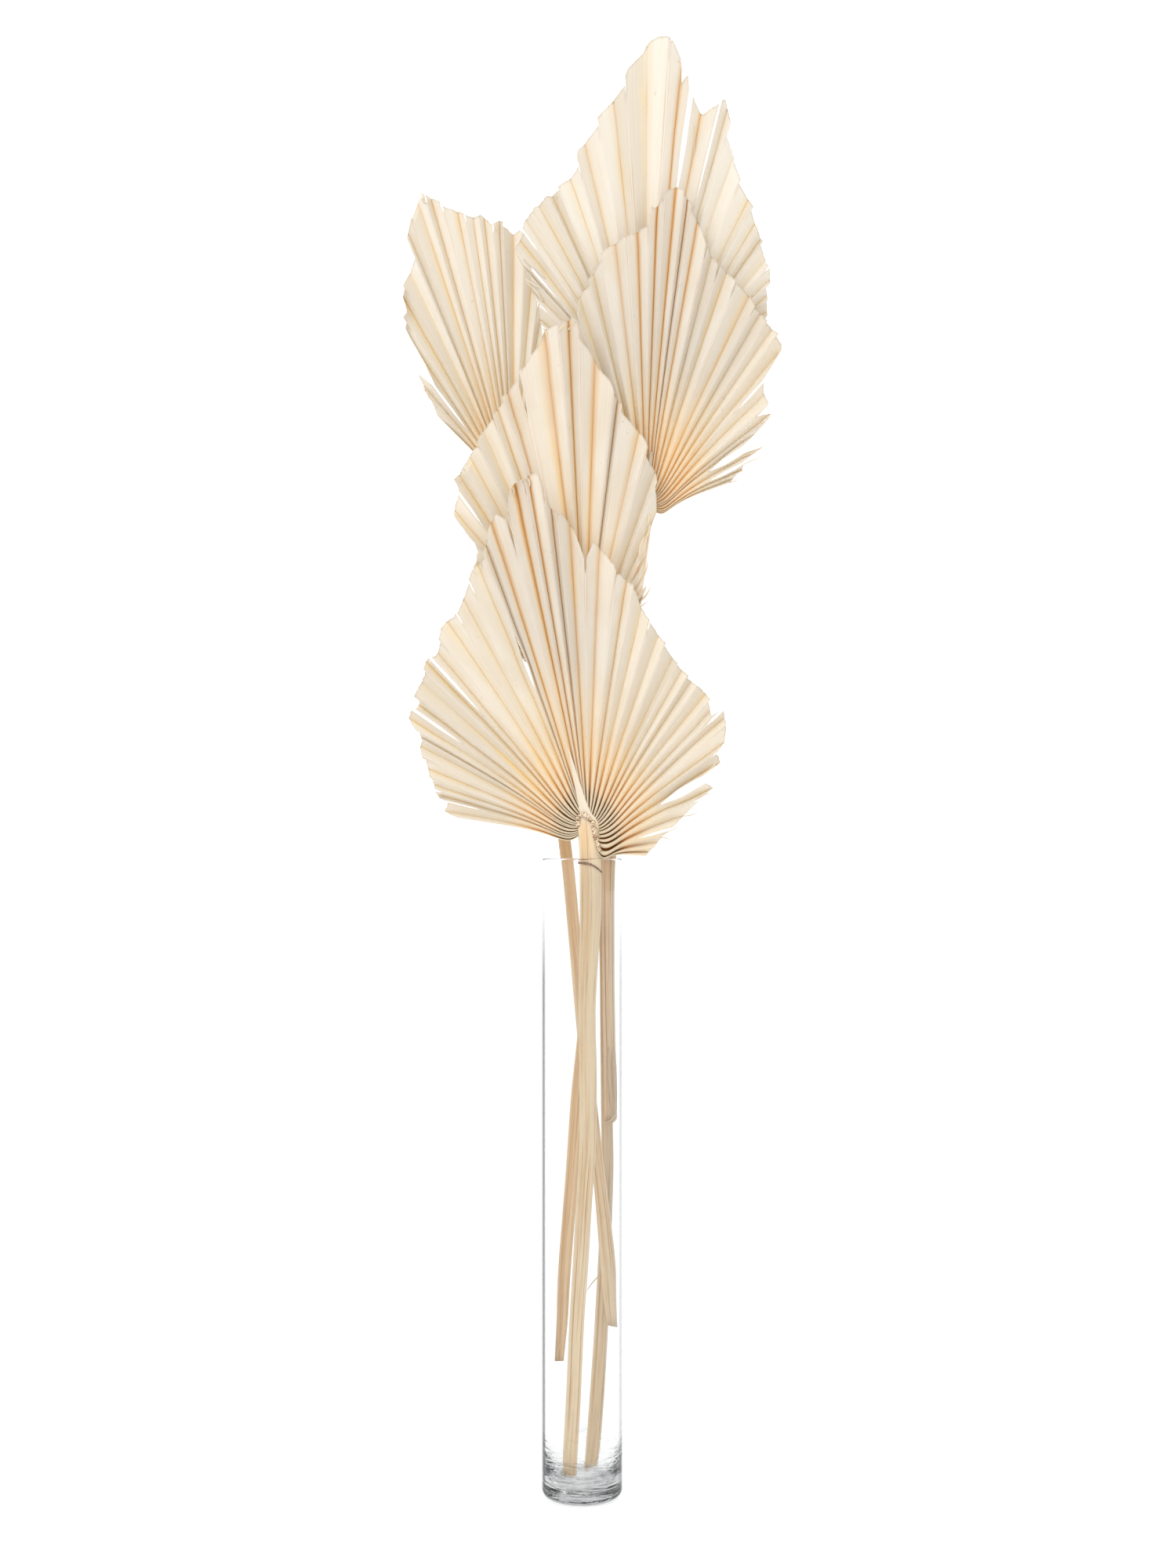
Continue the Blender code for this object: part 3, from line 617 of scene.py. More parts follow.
def petiole_material(name, tint, strength, line_strength):
    """Dry leaf stalk: long fibres, painted highlights along its edges, thin brown lines, painted shade above
    the vase's rim, and cream where it joins the blade.
    """
    tree = Tree(name)
    around, along, end = tree.split(tree.attribute("fan", "Vector"))
    tone = tree.attribute("tone")
    fibres = tree.streaks((around, 26.0), (along, 0.010), tone, 5.0, 0.7)
    lines = tree.streaks((around, 17.0), (along, 0.003), 4.0, 2.0, 0.5)
    broad = tree.streaks((around, 4.0), (along, 0.004), tone, 2.0, 0.5)
    clouds = tree.streaks((around, 1.5), (along, 0.03), 7.0, 3.0, 0.6)
    tree.colour = tree.mix(tree.spread(broad, 0.40, 0.60), (0.87, 0.65, 0.40), (0.97, 0.81, 0.58))
    tree.over(tree.spread(clouds, 0.45, 0.75, 0.0, 0.35), (0.80, 0.62, 0.44))
    tree.over(tree.spread(fibres, 0.53, 0.66, 0.0, 0.75), (0.66, 0.43, 0.22))
    tree.over(tree.spread(fibres, 0.46, 0.35, 0.0, 0.75), (0.99, 0.90, 0.72))
    tree.over(tree.spread(lines, 0.57, 0.61, 0.0, line_strength), (0.50, 0.26, 0.11))
    # Painted highlight: pale lines along both edges of the stalk
    from_middle = tree.math("SUBTRACT", tree.math("FRACT", tree.times(around, 2.0)), 0.5)
    tree.over(tree.spread(tree.math("ABSOLUTE", from_middle), 0.30, 0.37, 0.0, 0.7), (1.0, 0.91, 0.72))
    tree.over(tree.times(end, tree.spread(fibres, 0.4, 0.6, 0.25, 0.8)), (0.42, 0.27, 0.15))
    tree.over(strength, tint, "MULTIPLY")
    # Painted shade: the stalk darker and greyer above the vase's rim
    shade_above_rim = tree.spread(tree.split(tree.place("Object"))[2], 0.494, 0.502, 0.0, 0.9)
    tree.over(shade_above_rim, (0.88, 0.88, 0.90), "MULTIPLY")
    tree.over(tree.times(tree.attribute("warm"), 0.8), (0.80, 0.71, 0.58))
    tree.finish(tree.spread(fibres, 0.3, 0.7, 0.45, 0.65), tree.plus(fibres, lines), 0.6, 0.0006, 0.3)
    return tree.material


def crust_material():
    """Torn, corky rim of the hastula."""
    tree = Tree("hastula_crust")
    grain = tree.grain((520.0, 520.0, 520.0), 4.0, 0.7)
    tree.colour = tree.mix(tree.spread(grain, 0.40, 0.58), (0.28, 0.14, 0.06), (0.88, 0.74, 0.54))
    tree.finish(tree.spread(grain, 0.3, 0.7, 0.7, 0.9), grain, 0.8, 0.0006)
    return tree.material


# Painted refraction: dark brown for the line of the glass rim seen across the front petiole
def rim_refraction_material():
    tree = Tree("painted_rim_refraction")
    grain = tree.grain((700.0, 700.0, 700.0), 3.0, 0.6)
    tree.colour = tree.mix(tree.spread(grain, 0.35, 0.65), (0.16, 0.075, 0.03), (0.34, 0.18, 0.08))
    tree.finish(0.75)
    return tree.material


def glass_material():
    """Clear glass: faint draw along its height and ripples in its heavy foot, with painted refraction: grey
    streaks and a dark heel line in the foot and dark lines along its outer wall.
    """
    tree = Tree("clear_glass")
    x, y, z = tree.split(tree.place("Object"))
    waves = tree.grain((60.0, 60.0, 5.0), 2.0, 0.5)
    haze = tree.grain((18.0, 18.0, 9.0), 4.0, 0.6)
    ripples = tree.grain((26.0, 26.0, 210.0), 3.0, 0.6, 0.6)
    radius = tree.math("SQRT", tree.plus(tree.times(x, x), tree.times(y, y)))
    heel = tree.spread(radius, 0.016, 0.026)
    # Painted refraction: grey streaks, a grey foot and a dark line at the heel's bottom, as the foot would
    # show from darker surroundings
    streaks = tree.times(tree.spread(ripples, 0.50, 0.64, 0.0, 0.6), tree.spread(z, 0.060, 0.030))
    tree.colour = tree.mix(streaks, (0.985, 0.99, 0.992), (0.50, 0.51, 0.52))
    painted_foot_grey = tree.times(tree.spread(z, 0.013, 0.006), tree.spread(ripples, 0.35, 0.60, 0.25, 0.75))
    tree.over(tree.times(painted_foot_grey, tree.math("MULTIPLY_ADD", heel, 0.6, 0.4)), (0.42, 0.43, 0.44))
    tree.over(tree.times(tree.spread(z, 0.0035, 0.0015, 0.0, 0.7), heel), (0.16, 0.165, 0.17))
    # Painted refraction: dark lines near the outer wall where it is seen edge-on, darker on the left side
    edge = tree.nodes.new("ShaderNodeLayerWeight")
    edge.inputs["Blend"].default_value = 0.5
    line = tree.times(tree.spread(edge.outputs["Facing"], 0.56, 0.68), tree.spread(z, 0.485, 0.40))
    line = tree.times(line, tree.spread(x, -0.02, 0.02, 1.0, 0.6))
    tree.over(tree.times(line, tree.spread(radius, 0.0295, 0.0308)), (0.035, 0.036, 0.038))
    low = tree.spread(z, 0.075, 0.015)
    height = tree.plus(tree.times(waves, 0.12), tree.times(ripples, tree.times(low, 1.6)))
    tree.finish(tree.spread(haze, 0.45, 0.8, 0.0, 0.035), height, 0.5, 0.0012)
    tree.shader.inputs["Transmission Weight"].default_value = 1.0
    tree.shader.inputs["IOR"].default_value = GLASS_IOR
    body = tree.nodes.new("ShaderNodeVolumeAbsorption")
    tree.put(body.inputs["Color"], GLASS_TINT)
    body.inputs["Density"].default_value = GLASS_DENSITY
    tree.links.new(body.outputs[0], tree.output.inputs["Volume"])
    return tree.material


def floor_material():
    tree = Tree("pale_floor")
    grain = tree.noise(tree.place("Object"), 6.0, 3.0, 0.5)
    tree.colour = tree.mix(grain, (0.26, 0.26, 0.26), (0.30, 0.30, 0.30))
    tree.finish(0.8)
    tree.put(tree.shader.inputs["Emission Color"], (1.0, 1.0, 1.0))
    tree.shader.inputs["Emission Strength"].default_value = FLOOR_GLOW
    return tree.material


# Blades


def angle_of(point):
    """Angle about the hub, clockwise from straight down, so that no fan passes through zero."""
    x, z = point
    return math.atan2(-x, -z) % (2 * math.pi)


def direction_of(angle):
    return Vector((-math.sin(angle), -math.cos(angle)))


def reach_of(outline, angle):
    """How far from the hub the outline lies at an angle, at its furthest crossing."""
    ray = direction_of(angle)
    furthest = 0.0
    for (x0, z0), (x1, z1) in zip(outline, outline[1:]):
        side_x = x1 - x0
        side_z = z1 - z0
        cross = ray.x * side_z - ray.y * side_x
        if abs(cross) < 1e-9:
            continue
        reach = (x0 * side_z - z0 * side_x) / cross
        along = (x0 * ray.y - z0 * ray.x) / cross
        if -1e-6 <= along <= 1.0 + 1e-6:
            furthest = max(furthest, reach)
    return furthest


def turned(angle):
    """Angle from straight up, in radians, whichever side it is on."""
    return abs(angle - math.pi)


class Fan:
    """One leaf's fan of folds: where each point of a pleat lies, in millimetres."""

    def __init__(self, name, spec):
        self.name = name
        self.spec = spec
        self.hub = Vector(spec["hub"])
        self.pleats = spec["pleats"]
        self.draw = random.Random(spec["seed"])
        self.tones = [self.draw.random() for _ in range(2 * self.pleats)]
        self.cuts = [self.draw.uniform(-1.2, 0.4) for _ in range(self.pleats)]
        self.squares = [self.draw.uniform(0.0, 0.5) for _ in range(self.pleats)]
        self.folds = self.place_folds()
        ends = [2 * self.folds[0] - self.folds[2]] + self.folds[::2] + [2 * self.folds[-1] - self.folds[-3]]
        self.steps = [(after - before) / 4 for before, after in zip(ends, ends[2:])]
        self.slits = self.place_slits()
        self.curls = self.place_curls()

    def corners(self):
        """Angles of the outline's notches and of its tips."""
        outline = self.spec["outline"]
        angles = [angle_of(point) for point in outline]
        reaches = [math.hypot(*point) for point in outline]
        notches = []
        tips = []
        for i in range(1, len(outline) - 1):
            share = (angles[i] - angles[i - 1]) / max(1e-6, angles[i + 1] - angles[i - 1])
            between = reaches[i - 1] + (reaches[i + 1] - reaches[i - 1]) * share
            (notches if reaches[i] < between else tips).append(angles[i])
        return notches, tips

    def place_edges(self, notches):
        """Angles where pleats part: by the pleats' widths, at every slit, and at notches that lie close."""
        first = angle_of(self.spec["outline"][0])
        final = angle_of(self.spec["outline"][-1])
        samples = np.linspace(first, final, FOLD_SAMPLES)
        widths = sorted((angle_of((x, z)), wide) for x, z, wide in self.spec["widths"])
        dense = 1.0 / np.interp(samples, *zip(*widths))
        counted = np.concatenate(([0.0], np.cumsum(dense[1:] + dense[:-1])))
        counted *= self.pleats / counted[-1]
        pinned = {0: first, self.pleats: final}
        last = 0
        for mark in sorted(angle_of(slit[:2]) for slit in self.spec["slits"]):
            last = min(max(round(float(np.interp(mark, samples, counted))), last + 1), self.pleats - 1)
            pinned[last] = mark
        indices = sorted(pinned)
        shifts = [pinned[index] - np.interp(index, counted, samples) for index in indices]
        edges = [first]
        for pleat in range(1, self.pleats):
            plain = float(np.interp(pleat, counted, samples) + np.interp(pleat, indices, shifts))
            step = float(np.interp(pleat + 0.5, counted, samples) - np.interp(pleat - 0.5, counted, samples))
            nominal = plain + step * self.draw.uniform(-EDGE_JITTER, EDGE_JITTER)
            near = [angle for angle in notches if abs(angle - nominal) < NOTCH_NEAR * step]
            chosen = min(near, key=lambda angle: abs(angle - nominal), default=nominal)
            edges.append(max(pinned.get(pleat, chosen), edges[-1] + NARROWEST * step))
        return edges + [final]

    def place_folds(self):
        """Angles of all folds: pleats part at the outline's notches and have their middles at its tips."""
        notches, tips = self.corners()
        edges = self.place_edges(notches)
        low, high = TIP_SHARES
        folds = []
        for start, end in zip(edges, edges[1:]):
            width = end - start
            middle = start + width * self.draw.uniform(*MIDDLE_SHARES)
            near = [angle for angle in tips if low < (angle - start) / width < high]
            folds += [start, min(near, key=lambda angle: abs(angle - middle), default=middle)]
        return folds + [edges[-1]]

    def nearest(self, x, z, folds):
        mark = angle_of((x, z))
        return min(folds, key=lambda fold: abs(self.folds[fold] - mark))

    def place_slits(self):
        """Slits by the fold they split: the named ones, and short random nicks at others between pleats."""
        slits = {}
        between = range(2, 2 * self.pleats - 1, 2)
        for fold in between:
            if self.draw.random() < NICK_CHANCE:
                slits[fold] = (self.draw.uniform(0.93, 0.975), self.draw.uniform(0.4, 0.9), 1.0)
        for x, z, start, half_width, *end in self.spec["slits"]:
            slits[self.nearest(x, z, between)] = (start, half_width, end[0] if end else 1.0)
        return slits

    def place_curls(self):
        curls = {}
        for x, z, length, turn in self.spec["curls"]:
            pleat = min(self.nearest(x, z, range(len(self.folds))) // 2, self.pleats - 1)
            curls[pleat] = (length * self.draw.uniform(0.8, 1.1), turn * self.draw.uniform(0.8, 1.1))
        return curls

    def angle(self, fold):
        low = int(min(math.floor(fold), 2 * self.pleats - 1))
        return self.folds[low] + (self.folds[low + 1] - self.folds[low]) * (fold - low)

    def warmth(self, angle):
        value = 0.0
        for x, z, half_width, strength in self.spec["warm"]:
            away = abs(angle - angle_of((x, z))) / math.radians(half_width)
            value = max(value, strength * max(0.0, 1.0 - away * away))
        return value

    def root(self, angle):
        """Folds start over the petiole's tip and, further round, lower and lower on its side."""
        width, top, bottom = self.spec["roots"][0 if angle < math.pi else 1]
        down = smoothstep(math.radians(8), math.radians(112), turned(angle))
        side = -1.0 if angle < math.pi else 1.0
        round_top = math.sin(min(math.radians(90), turned(angle) * 1.5))
        start = max(self.spec["roots"][0][1], self.spec["roots"][1][1])
        from_top = start + (top - start) * min(1.0, turned(angle) / 0.3)
        return Vector((side * width * round_top, from_top + (bottom - from_top) * down))

    def strand(self, pleat, fold):
        """The line at a fold position: share across its pleat, root, tip, reach as cut, and fold spacing."""
        angle = self.angle(fold)
        within = fold / 2 - pleat
        outline = self.spec["outline"]
        inner = min(max(angle, self.folds[0] + 1e-4), self.folds[-1] - 1e-4)
        reach = reach_of(outline, inner)
        ragged = noise.noise(Vector((fold * 3.1, self.spec["seed"], 0.0))) * 0.8
        ragged += noise.noise(Vector((fold * 19.0, self.spec["seed"], 4.0))) * 0.9
        middle = reach_of(outline, self.folds[2 * pleat + 1])
        own = reach + (middle - reach) * self.squares[pleat] + self.cuts[pleat] + ragged
        own = min(own, reach + 1.5)
        tip = direction_of(angle) * reach
        step = self.steps[pleat] + (self.steps[pleat + 1] - self.steps[pleat]) * within
        return within, self.root(angle), tip, own, step

    def slit_gap(self, pleat, within, share):
        """Sideways shift at slits on the pleat's two sides, towards the pleat's own middle."""
        gap = 0.0
        for fold, side in ((2 * pleat, 1.0 - within), (2 * pleat + 2, -within)):
            start, half_width, end = self.slits.get(fold, NO_SLIT)
            if end < 1.0 and start < share < end:
                gap += side * half_width * math.sin(math.pi * (share - start) / (end - start))
            elif end == 1.0 and share > start:
                gap += side * half_width * min(1.0, 2.2 * (share - start) / (1.0 - start))
        return gap

    def loose(self, pleat, share):
        """How free a strip is beyond the slits at both its sides."""
        sides = (self.slits.get(2 * pleat, NO_SLIT), self.slits.get(2 * pleat + 2, NO_SLIT))
        starts = [start if end == 1.0 else 1.0 for start, _, end in sides]
        if pleat == 0:
            starts[0] = LOOSE_FROM
        if pleat == self.pleats - 1:
            starts[1] = LOOSE_FROM
        start = max(starts)
        return smoothstep(start, 1.0, share) if start < 0.85 else 0.0

    def point(self, pleat, fold, strand, share):
        """Place of a blade point, its length along the fold, and how far back its fold stands."""
        within, root, tip, own, step = strand
        length = (tip - root).length
        ray = (tip - root) / length
        run = length * share
        if share > OWN_FROM:
            run += (own - tip.length) * (share - OWN_FROM) / (1.0 - OWN_FROM)
        across = Vector((ray.y, -ray.x))
        side = math.copysign(1.0, ray.x)
        rise = share / SAG_AT * math.exp(1.0 - share / SAG_AT)
        flat = root + ray * run
        flat = flat + across * (side * SAG * rise * abs(ray.x) ** 1.5 + self.slit_gap(pleat, within, share))
        slope = SLOPE_OUTER + SLOPE_INNER * math.exp(-run / SLOPE_REACH)
        depth = ROOT_DEPTH + min(PLEAT_DEPTH_MAX - ROOT_DEPTH, slope * run * step)
        ridge = 1.0 - 2.0 * abs(2.0 * within - 1.0)
        panel = abs(math.sin(math.pi * fold))
        seed = self.spec["seed"]
        wavy = noise.noise(Vector((fold * 0.22, share * 1.6, seed))) * WAVE * smoothstep(0.15, 1.0, share)
        loose = self.loose(pleat, share)
        lift = (self.tones[2 * pleat] - 0.5) * LIFT * loose
        twist = (self.tones[2 * pleat + 1] - 0.5) * (within - 0.5) * TWIST * loose
        reach = flat.length / BOW_SPAN
        sides = (self.spec["wing"] * abs(flat.x) + self.spec["turn"] * flat.x) / SIDE_SPAN
        y = self.spec["bow"] * reach * reach + sides + (ridge - panel * HOLLOW) * depth + wavy + lift + twist
        place = Vector((flat.x, y, flat.y))
        if pleat in self.curls:
            place = self.curled(place, ray, length * (1.0 - share), *self.curls[pleat])
        return self.hub + place, run, ridge

    def curled(self, place, ray, left, length, turn):
        """Rolls the last stretch of a strip round a small arc, towards the viewer if turn is positive."""
        if left >= length:
            return place
        rolled = length - left
        bend = math.radians(abs(turn)) * rolled / length
        radius = length / math.radians(abs(turn))
        forward = radius * math.sin(bend) - rolled
        out = -math.copysign(radius * (1.0 - math.cos(bend)), turn)
        return place + Vector((ray.x * forward, out, ray.y * forward))


def blade_rows():
    """Shares along a fold, closer together at the root and at the cut margin."""
    shares = []
    inner = MARGIN_FROM ** ROW_POWER
    for row in range(BLADE_ROWS + 1):
        t = row / BLADE_ROWS
        if t < MARGIN_FROM:
            shares.append(t ** ROW_POWER)
        else:
            left = (1.0 - t) / (1.0 - MARGIN_FROM)
            shares.append(inner + (1.0 - inner) * (1.0 - left ** ROW_POWER))
    return shares


def blade_mesh(fan):
    """All pleats of a fan, each a grid of its own, joined where no slit parts them."""
    shares = blade_rows()
    steps = 2 * PANEL_COLUMNS
    places = []
    faces = []
    fan_values = []
    pleat_values = []
    tone_values = []
    warm_values = []
    for pleat in range(fan.pleats):
        start = len(places)
        for column in range(steps + 1):
            fold = 2 * pleat + column / PANEL_COLUMNS
            warmth = fan.warmth(fan.angle(fold))
            strand = fan.strand(pleat, fold)
            for share in shares:
                place, run, ridge = fan.point(pleat, fold, strand, share)
                places.append(place * MM)
                fan_values.append((fold, run, share))
                pleat_values.append(-ridge)
                tone_values.append(fan.tones[min(int(fold), 2 * fan.pleats - 1)])
                warm_values.append(warmth)
        rows = len(shares)
        for column in range(steps):
            for row in range(rows - 1):
                a = start + column * rows + row
                faces.append((a, a + rows, a + rows + 1, a + 1))
    return make_mesh(fan.name + "_blade", places, faces, fan=fan_values, pleat=pleat_values,
                     tone=tone_values, warm=warm_values)


def make_blade(name, fan, material):
    blade = finished(name.replace("leaf", "blade"), blade_mesh(fan), material, BLADE_SHARP)
    blade.modifiers.new("Join pleats", "WELD").merge_threshold = WELD
    thicken(blade, BLADE_THICKNESS)
    return blade


# Petioles


def bowl_height(radius):
    share = min(1.0, radius / BORE)
    rise = 1.0 - math.sqrt(1.0 - share ** VASE_BOWL_POWER)
    return VASE_FLOOR + (VASE_BOWL_TOP - VASE_FLOOR) * rise


def stem_section(width, depth, sides):
    """Petiole section as (across, back): rounded behind, flat with a shallow channel in front."""
    points = []
    for side in range(sides):
        angle = 2 * math.pi * side / sides
        across = math.cos(angle)
        back = math.sin(angle)
        if back < -1e-9:
            back = -abs(back) ** STEM_FLATNESS * (1.0 - STEM_CHANNEL * (1.0 - abs(across)) ** 2)
        points.append((across * width / 2, back * depth / 2))
    return points


def seated(spec):
    """The stem's points, with its cut end moved to rest on the vase's floor or against its wall."""
    points = [list(point) for point in spec["stem"]]
    x, y, z, width, depth = points[0]
    section = stem_section(width, depth, STEM_SIDES)
    if spec["seat"] == "floor":
        points[0][2] = max(bowl_height(math.hypot(x + u, y + v)) for u, v in section) + 2 * GAP
    else:
        side = math.copysign(1.0, x)
        bore = BORE - 2 * GAP
        points[0][0] = side * min(math.sqrt(bore ** 2 - (y + v) ** 2) - side * u for u, v in section)
    return points


def with_tongue(spec, points):
    """Carries the petiole on among the folds as a rib that soon gets narrow."""
    length, lean = spec["tongue"]
    lean = math.radians(lean)
    x, y, z, width, depth = points[-1]
    longer = list(points)
    for share, wide, forward, deep in TONGUE:
        away = length * share
        longer.append([x + away * math.sin(lean), y - forward, z + away * math.cos(lean),
                       width * wide, depth * deep])
    return longer


def smooth_route(points, spacing):
    """Even steps along a smooth curve through the given points, all their values alike."""
    route = []
    for index in range(len(points) - 1):
        before = Vector(points[max(0, index - 1)])
        start = Vector(points[index])
        end = Vector(points[index + 1])
        after = Vector(points[min(len(points) - 1, index + 2)])
        length = (end - start).length
        into = (end - before) * length / max(1e-6, (end - start).length + (start - before).length)
        out = (after - start) * length / max(1e-6, (after - end).length + (end - start).length)
        steps = max(1, round(length / spacing))
        for step in range(steps):
            t = step / steps
            route.append(start * (2 * t ** 3 - 3 * t ** 2 + 1) + into * (t ** 3 - 2 * t ** 2 + t)
                         + end * (3 * t ** 2 - 2 * t ** 3) + out * (t ** 3 - t ** 2))
    route.append(Vector(points[-1]))
    return route


def tube_mesh(name, route, sides, seed, section, groove, slant=0.0, pale_from=1e9):
    """A loft along a route, with lengthwise grooves, an uneven cut at its start and a closed tip."""
    draw = random.Random(seed)
    places = []
    fan_values = []
    pale = []
    faces = []
    run = 0.0
    cut = [draw.uniform(-0.5, 0.1) for _ in range(sides)]
    for index, station in enumerate(route):
        place = Vector(station[:3])
        ahead = Vector(route[min(index + 1, len(route) - 1)][:3])
        behind = Vector(route[max(index - 1, 0)][:3])
        along = (ahead - behind).normalized()
        back = (Vector((0.0, 1.0, 0.0)) - along * along.y).normalized()
        across = back.cross(along)
        if index:
            run += (place - Vector(route[index - 1][:3])).length
        for side, (u, v) in enumerate(section(station[3], station[4], sides)):
            ridge = noise.noise(Vector((side * 2.7, run * 0.004, seed))) * groove
            scale = 1.0 - (0.5 + ridge) * groove
            point = place + across * (u * scale) + back * (v * scale)
            if index == 0:
                point += along * (slant * (u + station[3] / 2) - cut[side] * 0.6)
            places.append(point * MM)
            fan_values.append((side / sides, run, 1.0 - smoothstep(0.0, 7.0, run)))
            pale.append(smoothstep(pale_from - 2.0, pale_from + 6.0, station[2]))
    for index in range(len(route) - 1):
        for side in range(sides):
            a = index * sides + side
            b = index * sides + (side + 1) % sides
            faces.append((a, b, b + sides, a + sides))
    for index, last in ((0, False), ((len(route) - 1) * sides, True)):
        centre = len(places)
        middle = sum((places[index + side] for side in range(sides)), Vector()) / sides
        places.append(middle)
        fan_values.append((0.5, run, 0.0) if last else (0.5, 0.0, 1.0))
        pale.append(1.0 if last else 0.0)
        for side in range(sides):
            a = index + side
            b = index + (side + 1) % sides
            faces.append((a, b, centre) if last else (b, a, centre))
    return make_mesh(name, places, faces, fan=fan_values, tone=[seed % 17 / 3.0] * len(places), warm=pale)


def make_petiole(name, spec, material):
    route = smooth_route(with_tongue(spec, seated(spec)), STEM_SPACING)
    mesh = tube_mesh(name + "_petiole", route, STEM_SIDES, spec["seed"], stem_section, STEM_GROOVE,
                     CUTS[name], spec["hub"][2])
    return finished(name.replace("leaf", "petiole"), mesh, material, STEM_SHARP)


def add_strip(parts, start, end, width, bend, share):
    """A thin tapered strip from start to end that bulges sideways and comes forward in an arc."""
    places, faces, fan_values = parts
    along = end - start
    length = along.length
    along = along / length
    aside = Vector((along.z, 0.0, -along.x)).normalized()
    first = len(places)
    for step in range(STRIP_STEPS + 1):
        t = step / STRIP_STEPS
        arc = 4 * t * (1 - t)
        line = start + along * (length * t) + aside * (bend * arc) + Vector((0.0, -abs(bend) * arc, 0.0))
        half = width / 2 * min(1.0, 0.15 + 4.0 * t) * (1.0 - t ** 2) ** 0.7 + STRIP_EDGE
        for side in (-1, 0, 1):
            ripple = 0.25 * math.sin(9.0 * t + side) + 0.3 * abs(side)
            places.append(line + aside * (half * side) + Vector((0.0, ripple, 0.0)))
            # On a petiole's torn strips, this first value lays the petiole material's painted edge highlight
            # along both edges of each strip
            fan_values.append((0.25 + 0.25 * side + 0.5 * round(start.x), 90.0 + length * t, share))
    for step in range(STRIP_STEPS):
        for side in range(2):
            a = first + step * 3 + side
            faces.append((a, a + 3, a + 4, a + 1))


def strips_object(name, parts, material):
    places, faces, fan_values = parts
    count = len(places)
    mesh = make_mesh(name, [place * MM for place in places], faces, fan=fan_values, pleat=[0.4] * count,
                     tone=[0.3] * count, warm=[0.0] * count)
    strips = finished(name, mesh, material)
    thicken(strips, STRIP_THICKNESS)
    return strips


def make_torn_strips(name, material):
    """Torn strips on a petiole."""
    parts = ([], [], [])
    for start, end, width, bend in STEM_STRIPS[name]:
        add_strip(parts, Vector(start), Vector(end), width, bend, 0.0)
    return strips_object(name.replace("leaf", "torn"), parts, material)


def make_fibres(name, spec, fan, material):
    """Loose fibres and torn slivers of a leaf's margin, each rooted on the blade."""
    parts = ([], [], [])
    for x, z, dx, dz, width, bend in FIBRES[name]:
        angle = angle_of((x, z))
        fold = float(np.interp(angle, fan.folds, range(len(fan.folds))))
        pleat = min(int(fold / 2), fan.pleats - 1)
        strand = fan.strand(pleat, fold)
        share = min(0.97, math.hypot(x, z) / strand[2].length)
        start = fan.point(pleat, fold, strand, share)[0] - Vector((0.0, FIBRE_AHEAD, 0.0))
        run = Vector((dx, -FIBRE_LEAN * math.hypot(dx, dz), dz))
        add_strip(parts, start, start + run, width, bend, 0.3)
    return strips_object(name.replace("leaf", "fibres"), parts, material)


def round_section(width, depth, sides):
    angles = [2 * math.pi * side / sides for side in range(sides)]
    return [(math.cos(angle) * width / 2, math.sin(angle) * depth / 2) for angle in angles]


def make_rim_refraction_line(material):
    """A painted dark line across the front petiole just under the vase's rim, a thin tube standing in for the
    rim's refraction.
    """
    route = smooth_route([(x, y, z, thick, 1.0) for x, y, z, thick in RIM_REFRACTION_LINE], 0.6)
    for index, station in enumerate(route):
        station[3] *= 1.0 + 0.6 * noise.noise(Vector((index * 0.35, 3.0, 0.0)))
    mesh = tube_mesh("painted_rim_refraction", route, 8, 7, round_section, 0.2)
    return finished("painted_rim_refraction", mesh, material, STEM_SHARP)


def make_crust(name, spec, material):
    """The torn ridge where the petiole's front face ends among the folds."""
    hub = Vector(spec["hub"])
    (left, left_top, _), (right, right_top, right_foot) = spec["roots"]
    front = -spec["stem"][-1][4] / 2 - 0.2
    crest = ((-left, left_top - 12.0), (-0.95 * left, left_top - 4.0), (-0.5 * left, left_top - 2.0),
             (0.1 * right, right_top), (0.45 * right, 0.0), (0.7 * right, 0.45 * right_foot),
             (0.95 * right, 0.75 * right_foot), (right + 0.5, right_foot + 1.0))
    arc = []
    for index, (x, z) in enumerate(crest):
        inset = (2.2, 0.8)[index] if index < 2 else 0.9 if index > 5 else 0.0
        arc.append((hub.x + x, hub.y + front + inset - 0.5, hub.z + z, 4.0, 3.2))
    route = smooth_route(arc, CRUST_SPACING)
    for index, station in enumerate(route):
        away = index * CRUST_SPACING
        swell = noise.noise(Vector((away / 1.3, spec["seed"], 0.0)))
        station[0] += 0.9 * noise.noise(Vector((away / 1.7, spec["seed"], 5.0)))
        station[2] += 1.1 * noise.noise(Vector((away / 1.5, spec["seed"], 9.0)))
        for value in (3, 4):
            station[value] *= max(0.35, 1.0 + 1.1 * swell)
    mesh = tube_mesh(name + "_hastula", route, 10, spec["seed"], round_section, 0.3)
    return finished(name.replace("leaf", "hastula"), mesh, material, STEM_SHARP)


# Vase


